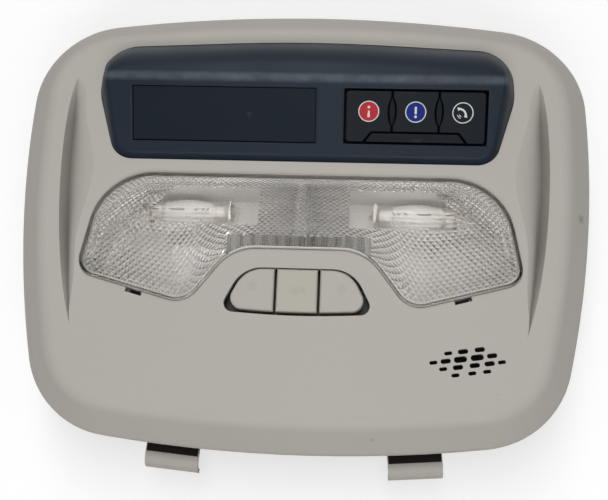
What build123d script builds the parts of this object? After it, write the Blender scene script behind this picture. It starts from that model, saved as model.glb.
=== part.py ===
from build123d import *
import os
from math import asin, atan2, cos, degrees, hypot, radians, sin, sqrt, tan

# Car dome light: a roof console with two map lamps, three lamp keys and three call buttons.
# It lies on its back: X runs along its width, Y towards its upper edge and Z out of its face.
# The origin is at the middle of the bezel's flat back rim. Sizes are in millimetres and degrees.

# Bezel outline: four bowed edges and round corners
bezel_width = 222.0
bezel_height = 176.0
widest_y = 32.0
top_bow = 600.0
side_bow = 380.0
bottom_bow = 545.0
corner_radius = 36.0

# Bezel section: upright skirt, sloping band, flat face
wall = 2.5
skirt_height = 4.0
band_rise = 10.0
band_inset = 10.0
crease_radius = 7.0
skirt_radius = 2.0

# Side scoops: a steep outer wall and a hollow inner slope, as (y, depth, width) from top to bottom
scoop_inset = 17.2
scoop_wall_run = 2.5
scoop_lift = 1.5
scoop_rise = 0.4
scoop_stations = [
    (56.0, -0.3, 8.0),
    (46.0, 1.8, 10.0),
    (32.0, 3.6, 13.0),
    (17.0, 4.2, 17.0),
    (-2.0, 3.9, 11.5),
    (-17.0, 3.0, 8.0),
    (-32.0, 1.5, 6.0),
    (-47.0, -0.3, 5.0),
]

# Insert panel: wedge with a tilted face, a ridge and a barrel back
insert_side_gap = 30.2
insert_top_gap = 16.3
insert_height = 50.7
insert_waist_drop = 24.0
insert_top_taper = 0.8
insert_low_taper = 8.2
insert_top_drop = 3.9
insert_top_radius = 600.0
insert_top_corner = 14.0
insert_waist_radius = 20.0
insert_low_corner = 9.0
insert_wall = 2.0
insert_draft = 20.0
insert_tilt = 22.0
insert_stem = 7.5
insert_fit = 0.25
lip_rise = 1.3
lip_radius = 4.5
lip_overhang = 0.8
ridge_reach = 28.7
ridge_radius = 1.6
shoulder_reach = 13.3
shoulder_drop = 1.5
shoulder_radius = 24.0
hook_lip_length = 96.0
hook_lip_depth = 1.8
hook_lip_thickness = 2.0
insert_ear_x = 30.0
insert_ear_width = 7.0
insert_ear_thickness = 2.0
insert_screw_gap = 3.2

# Windows in the insert's face: u along the width and v up the slope, from the face's middle
window_v = 1.4
blank_end_gap = 15.8
window_gap = 11.6
blank_height = 20.0
blank_recess = 0.3
blank_fit = 0.35
blank_flange = 2.0
blank_ear = 3.2
stake_diameter = 2.0
stake_length = 3.0
stake_spread = 12.0
stake_fit = 0.1
call_end_gap = 12.2
call_width = 52.4
call_height = 19.2
call_fit = 0.8
call_corner = 1.4

# Call buttons and what stands behind them
button_pitch = 17.6
button_gap = 0.55
button_recess = 0.2
button_thickness = 4.8
button_edge = 0.5
button_travel = 0.8
button_centre_v = 1.9
button_post = 3.0
post_fit = 0.3
spacer_width = 2.0
spacer_height = 10.6
bar_base = 38.0
bar_top = 32.6
bar_height = 3.4
bar_corner = 1.4
bar_recess = 0.4
light_pin = 2.0
frame_deck_depth = 7.0
frame_deck = 2.0
frame_wall = 1.6
frame_side = 1.0
frame_pillar = 4.6
frame_ear_reach = 6.4
call_board_depth = 17.0
board_thickness = 1.6
tact_size = 6.0
tact_body = 2.5
tact_height = 3.5
tact_button = 3.4
tact_clearance = 0.2
diode_size = 2.0
diode_height = 1.0
diode_gap = 0.3

# Lens: a clear cap over both lamps, with an arch above the keys
lens_strip = 6.0
lens_side_gap = 27.9
lens_shoulder = 7.1
lens_shoulder_radius = 24.0
lens_side_height = 39.4
lens_corner = 7.0
lobe_x = 41.0
lobe_drop = 50.8
lobe_radius = 10.0
arch_half_width = 24.6
arch_drop = 28.7
arch_radius = 18.0
lens_proud = 1.5
lens_plate = 2.0
lens_wall = 1.6
lens_fit = 0.3
lens_edge = 0.9
barb_x = 40.0
barb_width = 8.0
barb_reach = 0.8
barb_thickness = 1.6
barb_gap = 0.2
pry_x = 60.3
pry_length = 6.4
pry_depth = 1.6

# Lamp housing: the tub that carries the bulbs
tub_drop = 3.5
tub_flange = 2.0
tub_flange_reach = 2.0
tub_wall = 1.8
tub_step = 0.8
tub_depth = 22.0
tub_low_screw_x = 60.0
tub_low_screw_gap = 5.0
tub_arch_screw_x = 17.0
tub_arch_screw_gap = 3.9
screw_ear_radius = 3.6

# Festoon bulbs and their contacts
bulb_from_side = 38.1
bulb_drop = 10.0
bulb_height = 8.2
bulb_length = 37.0
bulb_glass = 10.0
bulb_glass_length = 19.0
bulb_cap = 7.4
bulb_cone = 4.0
bulb_tip = 2.4
contact_thickness = 0.7
contact_width = 8.0
contact_rise = 4.0
contact_foot = 6.0
contact_tab = 3.0
contact_grip = 2.0
contact_fit = 0.1
bus_width = 5.0
bus_thickness = 0.8
bus_length = 22.0

# Lamp keys
arch_strip = 7.4
keys_top_half = 20.5
keys_low_half = 28.8
keys_side_height = 16.7
keys_height = 18.4
keys_top_radius = 12.0
keys_low_radius = 3.5
keys_bottom_bow = 300.0
key_gap = 0.9
key_side_trim = 0.5
key_corner_radius = 5.2
key_lift = 0.4
key_split = 8.0
key_proud = 0.6
key_edge = 0.8
key_depth = 5.0
key_travel = 2.0
key_lip = 1.0
key_lip_thickness = 1.6
key_lip_gap = 0.3
key_lip_band = 3.0
key_barb = 0.8
key_barb_height = 1.4
key_post = 6.5
key_post_x = 15.6
key_post_drop = 5.4
key_post_length = 8.6
key_bore = 5.6
key_bore_depth = 4.0
key_rib = 3.0
key_rib_x = 16.6
key_rib_drop = 13.4
guide_fit = 0.3
guide_wall = 1.0
guide_length = 12.0
deck_thickness = 2.0
deck_margin = 4.0
deck_low_screw_x = 20.0
deck_low_screw_gap = 4.9
deck_top_screw_gap = 4.7
switch_board_width = 52.0
switch_board_height = 25.0
board_pillar = 4.6
board_pillar_x = 8.2
spring_wire = 0.6
spring_diameter = 4.6
spring_turns = 6
spring_fit = 0.1

# Microphone behind its slots: each row is its first column and the sizes of its dashes
mic_from_side = 49.1
mic_from_bottom = 34.1
slot_columns = [-12.7, -8.3, -3.0, 3.0, 8.3, 12.7]
slot_tilt = 8.6
slot_row_shift = 0.92
slot_row_pitch = 2.85
slot_rows = [(1, "smm"), (0, "smllm"), (1, "smmms"), (2, "sss")]
slot_lengths = {"s": 2.9, "m": 3.7, "l": 4.7}
slot_height_share = 0.47
boot_width = 28.0
boot_height = 13.0
boot_corner = 2.0
boot_depth = 6.0
boot_fit = 0.2
boot_fence = 1.5
boot_rim = 1.5
boot_channel = 1.2
capsule_diameter = 9.6
capsule_height = 4.0
capsule_edge = 0.3
capsule_fit = 0.05
sound_hole = 1.92
sound_hole_depth = 1.0

# Hook tongues on the lower edge
hook_x = 44.7
hook_width = 20.0
hook_reach = 8.6
hook_thickness = 1.6
hook_gap = 3.5
hook_bend = 1.6
hook_curl = 4.6
hook_drop = 6.0
hook_root = 6.0
hook_stem_gap = 0.1
hook_root_height = 3.0

# Rear cover and its screws
cover_gap = 7.5
cover_inset = 19.0
cover_wall = 2.0
cover_depth = 32.0
cover_edge = 3.0
cover_ear = 2.0
cover_ear_radius = 4.2
cover_ear_length = 5.5
cover_top_screw_x = 21.5
cover_top_screw_y = 25.4
cover_side_screw_x = 17.4
cover_side_screw_y = 15.0
cover_low_screw_x = 29.0
cover_low_screw_y = 30.0
rib_count = 5
rib_pitch = 14.0
rib_width = 1.6
rib_depth = 1.2
rib_margin = 5.0

# Connector and spring clips on the cover's upper wall
connector_x = 38.0
connector_rise = 12.0
connector_width = 28.0
connector_height = 12.0
connector_reach = 6.0
connector_base = 2.0
connector_wall = 1.5
connector_flange = 2.0
connector_fit = 0.15
pin_size = 0.7
pin_columns = 6
pin_pitch = 3.6
pin_tail = 3.0
pin_reach = 6.0
clip_from_side = 41.0
clip_width = 12.0
clip_thickness = 0.8
clip_reach = 6.0
clip_bend = 2.4
clip_radius = 1.1
clip_drop = 9.0
clip_length = 18.0
clip_pad = 1.5
clip_pad_depth = 6.0
clip_bow_drop = 8.1
clip_stud = 3.6
clip_stud_head = 0.6
clip_stud_fit = 0.1

# Self-tapping screws and their bosses
screw_diameter = 2.2
screw_length = 6.0
screw_point = 1.1
screw_tip = 0.55
screw_head = 4.4
screw_head_height = 1.6
screw_slot_width = 0.8
screw_slot_length = 3.0
screw_slot_depth = 0.6
screw_fit = 0.05
boss_diameter = 4.8
cover_boss_diameter = 6.0

# How close to a level an edge has to lie to count as on it
level_match = 0.001

# Levels that follow from the sizes above
half_width = bezel_width / 2
half_height = bezel_height / 2
face_z = skirt_height + band_rise
under_z = face_z - wall
insert_floor = under_z - insert_stem
corner_z = face_z + lip_rise
ridge_z = corner_z + ridge_reach * tan(radians(insert_tilt))
lens_top_z = face_z + lens_proud
tub_top = under_z - tub_drop
tub_low = tub_top - tub_depth
tub_floor = tub_low + tub_wall
bulb_z = tub_floor + bulb_height
deck_top = tub_top - tub_flange
deck_low = deck_top - deck_thickness
switch_board_top = deck_low - guide_length
key_top_z = face_z + key_proud
key_low_z = key_top_z - key_depth
key_post_low = key_low_z - key_post_length
cover_top = under_z - cover_gap
cover_low = cover_top - cover_depth

# Places that follow from the sizes above
insert_top = half_height - insert_top_gap
insert_bottom = insert_top - insert_height
insert_half = half_width - insert_side_gap
ridge_y = insert_bottom + ridge_reach
lens_top = insert_bottom - lens_strip
lens_half = half_width - lens_side_gap
arch_y = lens_top - arch_drop
bulb_x = lens_half - bulb_from_side
bulb_y = lens_top - bulb_drop
keys_top = arch_y - arch_strip
keys_bottom = keys_top - keys_height
key_post_y = keys_top - key_post_drop
key_rib_y = keys_top - key_rib_drop
mic_x = half_width - mic_from_side
mic_y = mic_from_bottom - half_height
lower_edge_lean = (lobe_drop - lens_side_height) / (lens_half - lobe_x)
call_u = insert_half - call_end_gap - call_width / 2
blank_left = blank_end_gap - insert_half
blank_right = call_u - call_width / 2 - window_gap
blank_u = (blank_left + blank_right) / 2
blank_width = blank_right - blank_left
frame_width = call_width + 2 * (call_fit + frame_side)
frame_height = call_height + 2 * (call_fit + frame_wall)
clip_x = half_width - clip_from_side

# The insert's tilted face, and the middles of its two windows
tilted = Plane(
    origin=(0, insert_bottom + ridge_reach / 2, (corner_z + ridge_z) / 2),
    x_dir=(1, 0, 0),
    z_dir=(0, -sin(radians(insert_tilt)), cos(radians(insert_tilt))),
).location
blank_place = tilted * Pos(blank_u, window_v)
call_place = tilted * Pos(call_u, window_v)


def prism(sketch, low, high):
    """A flat shape carried straight up from one level to another."""
    return Pos(0, 0, low) * extrude(sketch, high - low)


def rod(x, y, low, high, diameter):
    """An upright round bar between two levels."""
    return Pos(x, y, (low + high) / 2) * Cylinder(diameter / 2, high - low)


def block(x_low, x_high, y_low, y_high, z_low, z_high):
    """A plain block between two corners."""
    middle = Pos((x_low + x_high) / 2, (y_low + y_high) / 2, (z_low + z_high) / 2)
    return middle * Box(x_high - x_low, y_high - y_low, z_high - z_low)


def rounded(corners):
    """A closed shape from (x, y, radius) corners, with its face turned upwards."""
    points = [(x, y) for x, y, _ in corners]
    face = make_face(FilletPolyline(*points, radius=[r for _, _, r in corners], close=True)).face()
    return Sketch() + (face if face.normal_at().Z > 0 else -face)


def mirrored(corners):
    """The corners of a right half, then the same corners of the left half on the way back."""
    return corners + [(-x, y, r) for x, y, r in reversed(corners) if x > 0]


def both_sides(x, y):
    """A place on the right and its mirror place on the left."""
    return [(-x, y), (x, y)]


def disc_edge(radius, across):
    """How far the edge of a disc stands from its centre at a distance across."""
    return sqrt(radius**2 - across**2)


def level_edges(solid, level):
    """The edges that lie flat at one level."""
    boxes = [(edge, edge.bounding_box()) for edge in solid.edges()]
    return [edge for edge, box in boxes if max(box.max.Z - level, level - box.min.Z) < level_match]


def bezel_outline(inset):
    """The bezel's outline moved inwards: where four large discs overlap, with round corners."""
    top = Pos(0, half_height - top_bow) * Circle(top_bow - inset)
    bottom = Pos(0, bottom_bow - half_height) * Circle(bottom_bow - inset)
    right = Pos(half_width - side_bow, widest_y) * Rot(0, 0, 180) * Circle(side_bow - inset)
    left = Pos(side_bow - half_width, widest_y) * Circle(side_bow - inset)
    shape = top & bottom & right & left
    return fillet(shape.vertices(), corner_radius - inset)


def insert_outline():
    """The insert's outline at the bezel's face: bowed top edge, sides that close in downwards."""
    return rounded(
        mirrored(
            [
                (0, insert_top, insert_top_radius),
                (insert_half - insert_top_taper, insert_top - insert_top_drop, insert_top_corner),
                (insert_half, insert_top - insert_waist_drop, insert_waist_radius),
                (insert_half - insert_low_taper, insert_bottom, insert_low_corner),
            ]
        )
    )


def insert_profile():
    """The insert's side view as (y, z): lower lip, tilted face, ridge and barrel back."""
    low_y = insert_bottom - lip_overhang
    high_y = insert_top + lip_overhang
    return rounded(
        [
            (low_y, insert_floor, 0),
            (low_y, corner_z - lip_overhang * tan(radians(insert_tilt)), lip_radius),
            (ridge_y, ridge_z, ridge_radius),
            (ridge_y + shoulder_reach, ridge_z - shoulder_drop, shoulder_radius),
            (high_y, face_z - lip_overhang, 0),
            (high_y, insert_floor, 0),
        ]
    )


def lens_outline():
    """The lens seen from the front: straight top, two lobes and an arch between them."""
    return rounded(
        mirrored(
            [
                (lens_half - lens_shoulder, lens_top, lens_shoulder_radius),
                (lens_half, lens_top - lens_side_height, lens_corner),
                (lobe_x, lens_top - lobe_drop, lobe_radius),
                (arch_half_width, arch_y, arch_radius),
            ]
        )
    )


def lens_lower_edge(x):
    """Height of the lens's slanting lower edge at a distance from the middle."""
    return lens_top - lobe_drop + (x - lobe_x) * lower_edge_lean


def keys_outline(trim=0, low_radius=keys_low_radius):
    """The opening for the three lamp keys: round top corners, sides that open out downwards."""
    return rounded(
        mirrored(
            [
                (keys_top_half - trim, keys_top, keys_top_radius),
                (keys_low_half - trim, keys_top - keys_side_height, low_radius),
                (0, keys_bottom, keys_bottom_bow),
            ]
        )
    )


# Screw places: (x, y) in the bezel, and (u, v) from the middle of the call window
insert_edge_y = insert_top - insert_top_drop * insert_ear_x / insert_half
insert_spots = both_sides(insert_ear_x, insert_edge_y + insert_screw_gap)
tub_spots = both_sides(tub_low_screw_x, lens_lower_edge(tub_low_screw_x) - tub_low_screw_gap)
tub_spots += both_sides(tub_arch_screw_x, arch_y - tub_arch_screw_gap)
deck_spots = both_sides(deck_low_screw_x, keys_bottom - deck_low_screw_gap)
deck_spots += [(0, arch_y - deck_top_screw_gap)]
board_spots = both_sides(board_pillar_x, key_rib_y)
cover_spots = both_sides(half_width - cover_top_screw_x, half_height - cover_top_screw_y)
cover_spots += both_sides(half_width - cover_side_screw_x, -cover_side_screw_y)
cover_spots += both_sides(half_width - cover_low_screw_x, cover_low_screw_y - half_height)
pillar_u = (frame_width - frame_wall - frame_pillar) / 2
pillar_v = (frame_height - frame_wall - frame_pillar) / 2
pillar_spots = [(-pillar_u, pillar_v), (pillar_u, -pillar_v)]
ear_u = -(frame_width + frame_ear_reach) / 2
ear_spots = [(ear_u, -pillar_v), (ear_u, pillar_v)]

# Screw seats: the level that each screw's head bears on
insert_seat = insert_floor
tub_seat = tub_top - tub_flange
deck_seat = deck_low
board_seat = switch_board_top - board_thickness
cover_seat = cover_top - cover_ear
pillar_seat = -call_board_depth - board_thickness
ear_seat = -frame_deck_depth - frame_deck


def screw(x, y, seat):
    """A pan-head screw with its head under its seat, a cross slot and a pointed end."""
    shank_top = seat + screw_length - screw_point
    head = rod(0, 0, seat - screw_head_height, seat, screw_head)
    shank = rod(0, 0, seat, shank_top, screw_diameter)
    point = Cone(screw_diameter / 2, screw_tip / 2, screw_point)
    tip = Pos(0, 0, shank_top + screw_point / 2) * point
    slot = Box(screw_slot_length, screw_slot_width, 2 * screw_slot_depth)
    cross = Pos(0, 0, seat - screw_head_height) * (slot + Rot(0, 0, 90) * slot)
    return Pos(x, y) * (head + shank + tip - cross)


def pilot(x, y, seat):
    """The hole that a screw with its head at this seat turns into."""
    return rod(x, y, seat, seat + screw_length + 2 * screw_fit, screw_diameter + 2 * screw_fit)


def scoop(grow):
    """The right scoop as a cutting tool: sections along Y with a hollow slope, made thicker by grow."""
    sections = []
    top = face_z + 2 * scoop_lift
    for y, depth, width in scoop_stations:
        edge = half_width - side_bow + disc_edge(side_bow - scoop_inset, y - widest_y)
        foot = (edge - scoop_wall_run, face_z - depth - grow)
        end = (edge - width, face_z + scoop_rise - grow)
        sag = ((foot[0] + end[0]) / 2, end[1] - (depth + scoop_rise) / 2**2)
        lip = (edge + scoop_lift + grow, top)
        corner = (edge - width, top)
        outline = [Line(lip, foot), ThreePointArc(foot, sag, end), Line(end, corner), Line(corner, lip)]
        place = Plane(origin=(0, y, 0), x_dir=(1, 0, 0), z_dir=(0, -1, 0))
        sections.append(place * make_face(outline))
    return loft(sections)


def hook_tongue(side):
    """A tongue behind the lower edge: down past the panel gap, outwards, then curled away."""
    lean = asin(hook_x / bottom_bow)
    edge_y = bottom_bow - half_height - bottom_bow * cos(lean)
    stem_y = wall + hook_stem_gap + hook_thickness / 2
    tongue_z = -hook_gap - hook_thickness / 2
    end_y = hook_thickness / 2 - hook_reach
    path = FilletPolyline(
        (stem_y, hook_root),
        (stem_y, tongue_z),
        (end_y, tongue_z),
        (end_y, tongue_z - hook_drop),
        radius=[hook_bend, hook_curl],
    )
    tongue = extrude(Plane.YZ * trace(path, hook_thickness), hook_width / 2, both=True)
    root = block(-hook_width / 2, hook_width / 2, wall / 2, stem_y, skirt_height - hook_root_height, skirt_height)
    return Pos(side * hook_x, edge_y) * Rot(0, 0, side * degrees(lean)) * (tongue + root)


def microphone_slots():
    """Slanting dashes in sheared rows, the longest near the middle."""
    dashes = Sketch()
    along = Vector(1, 0).rotate(Axis.Z, slot_tilt)
    across = Vector(slot_row_shift, slot_row_pitch)
    middle_row = (len(slot_rows) - 1) / 2
    for row, (first, sizes) in enumerate(slot_rows):
        for step, size in enumerate(sizes):
            spot = along * slot_columns[first + step] + across * (middle_row - row)
            length = slot_lengths[size]
            dash = SlotOverall(length, length * slot_height_share)
            dashes += Pos(mic_x + spot.X, mic_y + spot.Y) * Rot(0, 0, slot_tilt) * dash
    return dashes


def pry_slots():
    """Notches in the bezel at the lens's lower edge, where a flat tool lifts the lens out."""
    notches = Sketch()
    for side in (-1, 1):
        lean = Rot(0, 0, side * degrees(atan2(lower_edge_lean, 1)))
        notch = lean * Rectangle(pry_length, 2 * (pry_depth + lens_fit))
        notches += Pos(side * pry_x, lens_lower_edge(pry_x)) * notch
    return notches


def bezel_shell():
    """The bezel's plain shell: skirt, band, face and scoops, with an even wall."""
    foot = Pos(0, 0, skirt_height) * bezel_outline(0)
    form = prism(bezel_outline(0), 0, skirt_height)
    form += loft([foot, Pos(0, 0, face_z) * bezel_outline(band_inset)], ruled=True)
    form = fillet(level_edges(form, face_z), crease_radius)
    form = fillet(level_edges(form, skirt_height), skirt_radius)
    slope = band_inset / band_rise
    shift = wall * sqrt(1 + slope**2)
    bend_z = skirt_height - (shift - wall) / slope
    roof_inset = slope * (under_z - skirt_height) + shift
    inner_foot = Pos(0, 0, bend_z) * bezel_outline(wall)
    hollow = prism(bezel_outline(wall), -wall, bend_z)
    hollow += loft([inner_foot, Pos(0, 0, under_z) * bezel_outline(roof_inset)], ruled=True)
    dip = scoop(0)
    backing = scoop(wall)
    hollow -= backing + mirror(backing, Plane.YZ)
    return form - dip - mirror(dip, Plane.YZ) - hollow


def bezel():
    """Grey face moulding: the shell with its bosses, fence, openings and hook tongues."""
    body = bezel_shell()
    ear_end = insert_floor + insert_ear_thickness
    groups = [
        (tub_spots, tub_top, tub_seat, boss_diameter),
        (deck_spots, deck_top, deck_seat, boss_diameter),
        (insert_spots, ear_end, insert_seat, boss_diameter),
        (cover_spots, cover_top, cover_seat, cover_boss_diameter),
    ]
    for spots, end, _, diameter in groups:
        for x, y in spots:
            body += rod(x, y, end, face_z - wall / 2, diameter)
    inside = RectangleRounded(boot_width + 2 * boot_fit, boot_height + 2 * boot_fit, boot_corner)
    fence = offset(inside, boot_fence) - inside
    body += Pos(mic_x, mic_y) * prism(fence, under_z - boot_depth / 2, face_z - wall / 2)
    for spots, _, seat, _ in groups:
        for x, y in spots:
            body -= pilot(x, y, seat)
    openings = [offset(insert_outline(), insert_fit), offset(lens_outline(), lens_fit), keys_outline()]
    for opening in openings + [pry_slots(), microphone_slots()]:
        body -= prism(opening, under_z - wall, face_z + wall)
    return body + hook_tongue(-1) + hook_tongue(1)


def insert_form(inset, floor):
    """The insert's form moved inwards: an upright stem, and a drafted plug under the ridged roof."""
    outline = offset(insert_outline(), -inset) if inset else insert_outline()
    profile = offset(insert_profile(), -inset) if inset else insert_profile()
    lean = (ridge_z - face_z) * tan(radians(insert_draft))
    plug = loft([Pos(0, 0, face_z) * outline, Pos(0, 0, ridge_z) * offset(outline, -lean)], ruled=True)
    roof = extrude(Plane.YZ * profile, half_width, both=True)
    return prism(outline, floor, face_z) + (plug & roof)


def stake_spots():
    """Where the insert's heat stakes hold the blank cover, from the middle of its window."""
    reach = (blank_width + blank_ear) / 2 + blank_fit
    return [(side * reach, end * stake_spread / 2) for side in (-1, 1) for end in (-1, 1)]


def insert_panel():
    """Dark wedge: a shell with two windows, a lip under the bezel's face and two screw ears."""
    body = insert_form(0, insert_floor) - insert_form(insert_wall, insert_floor - insert_wall)
    blank_window = RectangleRounded(blank_width + 2 * blank_fit, blank_height + 2 * blank_fit, blank_fit)
    call_window = RectangleRounded(call_width + 2 * call_fit, call_height + 2 * call_fit, call_corner)
    body -= blank_place * prism(blank_window, -2 * insert_wall, insert_wall)
    body -= call_place * prism(call_window, -2 * insert_wall, insert_wall)
    half_lip = hook_lip_length / 2
    lip_y = insert_bottom - hook_lip_depth
    lip_root = insert_bottom + insert_wall / 2
    body += block(-half_lip, half_lip, lip_y, lip_root, under_z - hook_lip_thickness, under_z)
    half_ear = insert_ear_width / 2
    ear_root = insert_edge_y - insert_wall
    ear_top = insert_floor + insert_ear_thickness
    for x, y in insert_spots:
        body += block(x - half_ear, x + half_ear, ear_root, y + half_ear, insert_floor, ear_top)
        body -= pilot(x, y, insert_seat)
    for u, v in ear_spots:
        body += call_place * rod(u, v, -frame_deck_depth, -insert_wall / 2, boss_diameter)
        body -= call_place * pilot(u, v, ear_seat)
    for u, v in stake_spots():
        body += blank_place * rod(u, v, -insert_wall - stake_length, -insert_wall / 2, stake_diameter)
    return body


def blank_cover():
    """Plain plate from behind the left window, set back a little, with a flange on heat stakes."""
    plate = RectangleRounded(blank_width, blank_height, blank_fit)
    flange = Rectangle(blank_width + 2 * (blank_ear + blank_fit), blank_height + blank_flange)
    body = prism(plate, -insert_wall, -blank_recess)
    body += prism(flange, -insert_wall - blank_flange, -insert_wall)
    for u, v in stake_spots():
        body -= rod(u, v, -insert_wall - stake_length, -insert_wall, stake_diameter + 2 * stake_fit)
    return blank_place * body


def spacers(grow):
    """Two slim lens shapes between the call buttons, each where two discs overlap."""
    rise = spacer_width / 2 + grow
    half = spacer_height / 2 + grow
    radius = (half**2 + rise**2) / (2 * rise)
    offset_u = radius - rise
    shape = Pos(offset_u, 0) * Circle(radius)
    shape &= Pos(-offset_u, 0) * Rot(0, 0, 180) * Circle(radius)
    return [Pos(side * button_pitch / 2, button_centre_v) * shape for side in (-1, 1)]


def bar_outline(grow):
    """The trapezoid below the call buttons, grown by a gap."""
    low = -call_height / 2
    lean = (bar_base - bar_top) / 2 / bar_height
    side = bar_base / 2 + grow * sqrt(1 + lean**2)
    rise = bar_height + grow
    top_corner = (side - rise * lean, low + rise, bar_corner)
    return rounded(mirrored([top_corner, (side + grow * lean, low - grow, 0)]))


def call_button(column):
    """A call button: cap with notches for the spacers and the bar, and a post to its switch."""
    edges = [-call_width / 2, -button_pitch / 2, button_pitch / 2, call_width / 2]
    left = edges[column + 1] + (button_gap / 2 if column > -1 else 0)
    right = edges[column + 2] - (button_gap / 2 if column < 1 else 0)
    shape = RectangleRounded(call_width, call_height, call_corner)
    shape &= Pos((left + right) / 2, 0) * Rectangle(right - left, call_height)
    shape -= bar_outline(button_gap)
    for notch in spacers(button_gap):
        shape -= notch
    cap_low = -button_recess - button_thickness
    cap = prism(shape, cap_low, -button_recess)
    cap = fillet(level_edges(cap, -button_recess), button_edge)
    post_end = -call_board_depth + tact_height + button_travel + tact_clearance
    post = rod(column * button_pitch, button_centre_v, post_end, cap_low, button_post)
    return call_place * (cap + post)


def indicator_bar():
    """Clear light guide: the trapezoid bar and a pin down to the diode."""
    bar_v = (bar_height - call_height) / 2
    bar = prism(bar_outline(0), -frame_deck_depth, -bar_recess)
    bar = fillet(level_edges(bar, -bar_recess), bar_recess)
    pin = rod(0, bar_v, -call_board_depth + diode_height + diode_gap, -frame_deck_depth, light_pin)
    return call_place * (bar + pin)


def button_frame():
    """Black frame behind the call window: a deck that guides the posts, walls, pillars and ears."""
    outer = Rectangle(frame_width, frame_height)
    pocket = RectangleRounded(call_width + 2 * call_fit, call_height + 2 * call_fit, call_corner)
    deck_low_w = -frame_deck_depth - frame_deck
    body = prism(outer, -call_board_depth, -insert_wall) - prism(pocket, -frame_deck_depth, 0)
    body -= prism(offset(outer, -frame_wall), -call_board_depth - frame_deck, deck_low_w)
    for u, v in pillar_spots:
        body += rod(u, v, -call_board_depth, deck_low_w, frame_pillar)
        body -= pilot(u, v, pillar_seat)
    half_ear = pillar_v + frame_pillar / 2
    ear_end = -frame_width / 2 - frame_ear_reach
    body += block(ear_end, -frame_width / 2, -half_ear, half_ear, deck_low_w, -frame_deck_depth)
    for u, v in ear_spots:
        body -= pilot(u, v, ear_seat)
    for shape in spacers(0):
        body += prism(shape, -frame_deck_depth, -bar_recess)
    post_hole = button_post + 2 * post_fit
    for column in (-1, 0, 1):
        body -= rod(column * button_pitch, button_centre_v, deck_low_w, -frame_deck_depth, post_hole)
    body -= rod(0, (bar_height - call_height) / 2, deck_low_w, -frame_deck_depth, light_pin + 2 * post_fit)
    return call_place * body


def call_board():
    """Printed board screwed to the back of the button frame."""
    board = prism(Rectangle(frame_width, frame_height), pillar_seat, -call_board_depth)
    for u, v in pillar_spots:
        board -= pilot(u, v, pillar_seat)
    return call_place * board


def tact_switch(x, y, base):
    """A small push switch on a board: square body and round button."""
    body = Pos(x, y, base + tact_body / 2) * Box(tact_size, tact_size, tact_body)
    return body + rod(x, y, base + tact_body, base + tact_height, tact_button)


def status_diode():
    """Light diode on the call board, under the indicator bar's pin."""
    spot = Pos(0, (bar_height - call_height) / 2, -call_board_depth + diode_height / 2)
    return call_place * spot * Box(diode_size, diode_size, diode_height)


def lens():
    """Clear cap: plate with a round edge, a wall down to the lamp housing, and snap barbs."""
    outline = lens_outline()
    plate_low = lens_top_z - lens_plate
    body = prism(outline, tub_top, lens_top_z)
    body = fillet(level_edges(body, lens_top_z), lens_edge)
    body -= prism(offset(outline, -lens_wall), tub_top - lens_wall, plate_low)
    barb_top = under_z - barb_gap
    for x in (-barb_x, barb_x):
        body += block(x - barb_width / 2, x + barb_width / 2, lens_top - lens_wall / 2, lens_top + barb_reach,
                      barb_top - barb_thickness, barb_top)
    return body


def contact_spots():
    """Where the bulb contacts stand: (side, place along X) of the inner and outer strip."""
    reach = bulb_length / 2 - contact_grip
    return [(side, side * bulb_x + end * reach) for side in (-1, 1) for end in (-1, 1)]


def lamp_housing():
    """White tub under the lens: flange with screw ears, walls, middle wall and contact slots."""
    outline = lens_outline()
    inside = offset(outline, -tub_step - tub_wall)
    body = prism(offset(outline, tub_flange_reach), tub_seat, tub_top)
    body -= prism(pry_slots(), tub_seat, tub_top)
    for x, y in tub_spots:
        body += rod(x, y, tub_seat, tub_top, 2 * screw_ear_radius)
    body += prism(offset(outline, -tub_step), tub_low, tub_top)
    body -= prism(inside, tub_floor, tub_top)
    middle_wall = block(-tub_wall / 2, tub_wall / 2, arch_y, lens_top - tub_step, tub_low, tub_top)
    body += middle_wall & prism(offset(outline, -tub_step), tub_low, tub_top)
    for x, y in tub_spots:
        body -= pilot(x, y, tub_seat)
    slot = Box(contact_thickness + 2 * contact_fit, contact_tab + 2 * contact_fit, 2 * tub_wall)
    for _, x in contact_spots():
        body -= Pos(x, bulb_y, tub_low + tub_wall / 2) * slot
    return body


def bulb(side):
    """Festoon bulb lying along X: glass barrel between two pointed metal caps."""
    half = bulb_length / 2
    glass = bulb_glass_length / 2
    shoulder = half - bulb_cone
    half_section = [
        Line((-half, 0), (-half, bulb_tip / 2)),
        Line((-half, bulb_tip / 2), (-shoulder, bulb_cap / 2)),
        Line((-shoulder, bulb_cap / 2), (-glass, bulb_cap / 2)),
        ThreePointArc((-glass, bulb_cap / 2), (0, bulb_glass / 2), (glass, bulb_cap / 2)),
        Line((glass, bulb_cap / 2), (shoulder, bulb_cap / 2)),
        Line((shoulder, bulb_cap / 2), (half, bulb_tip / 2)),
        Line((half, bulb_tip / 2), (half, 0)),
        Line((half, 0), (-half, 0)),
    ]
    return Pos(side * bulb_x, bulb_y, bulb_z) * revolve(make_face(half_section), Axis.X)


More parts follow.
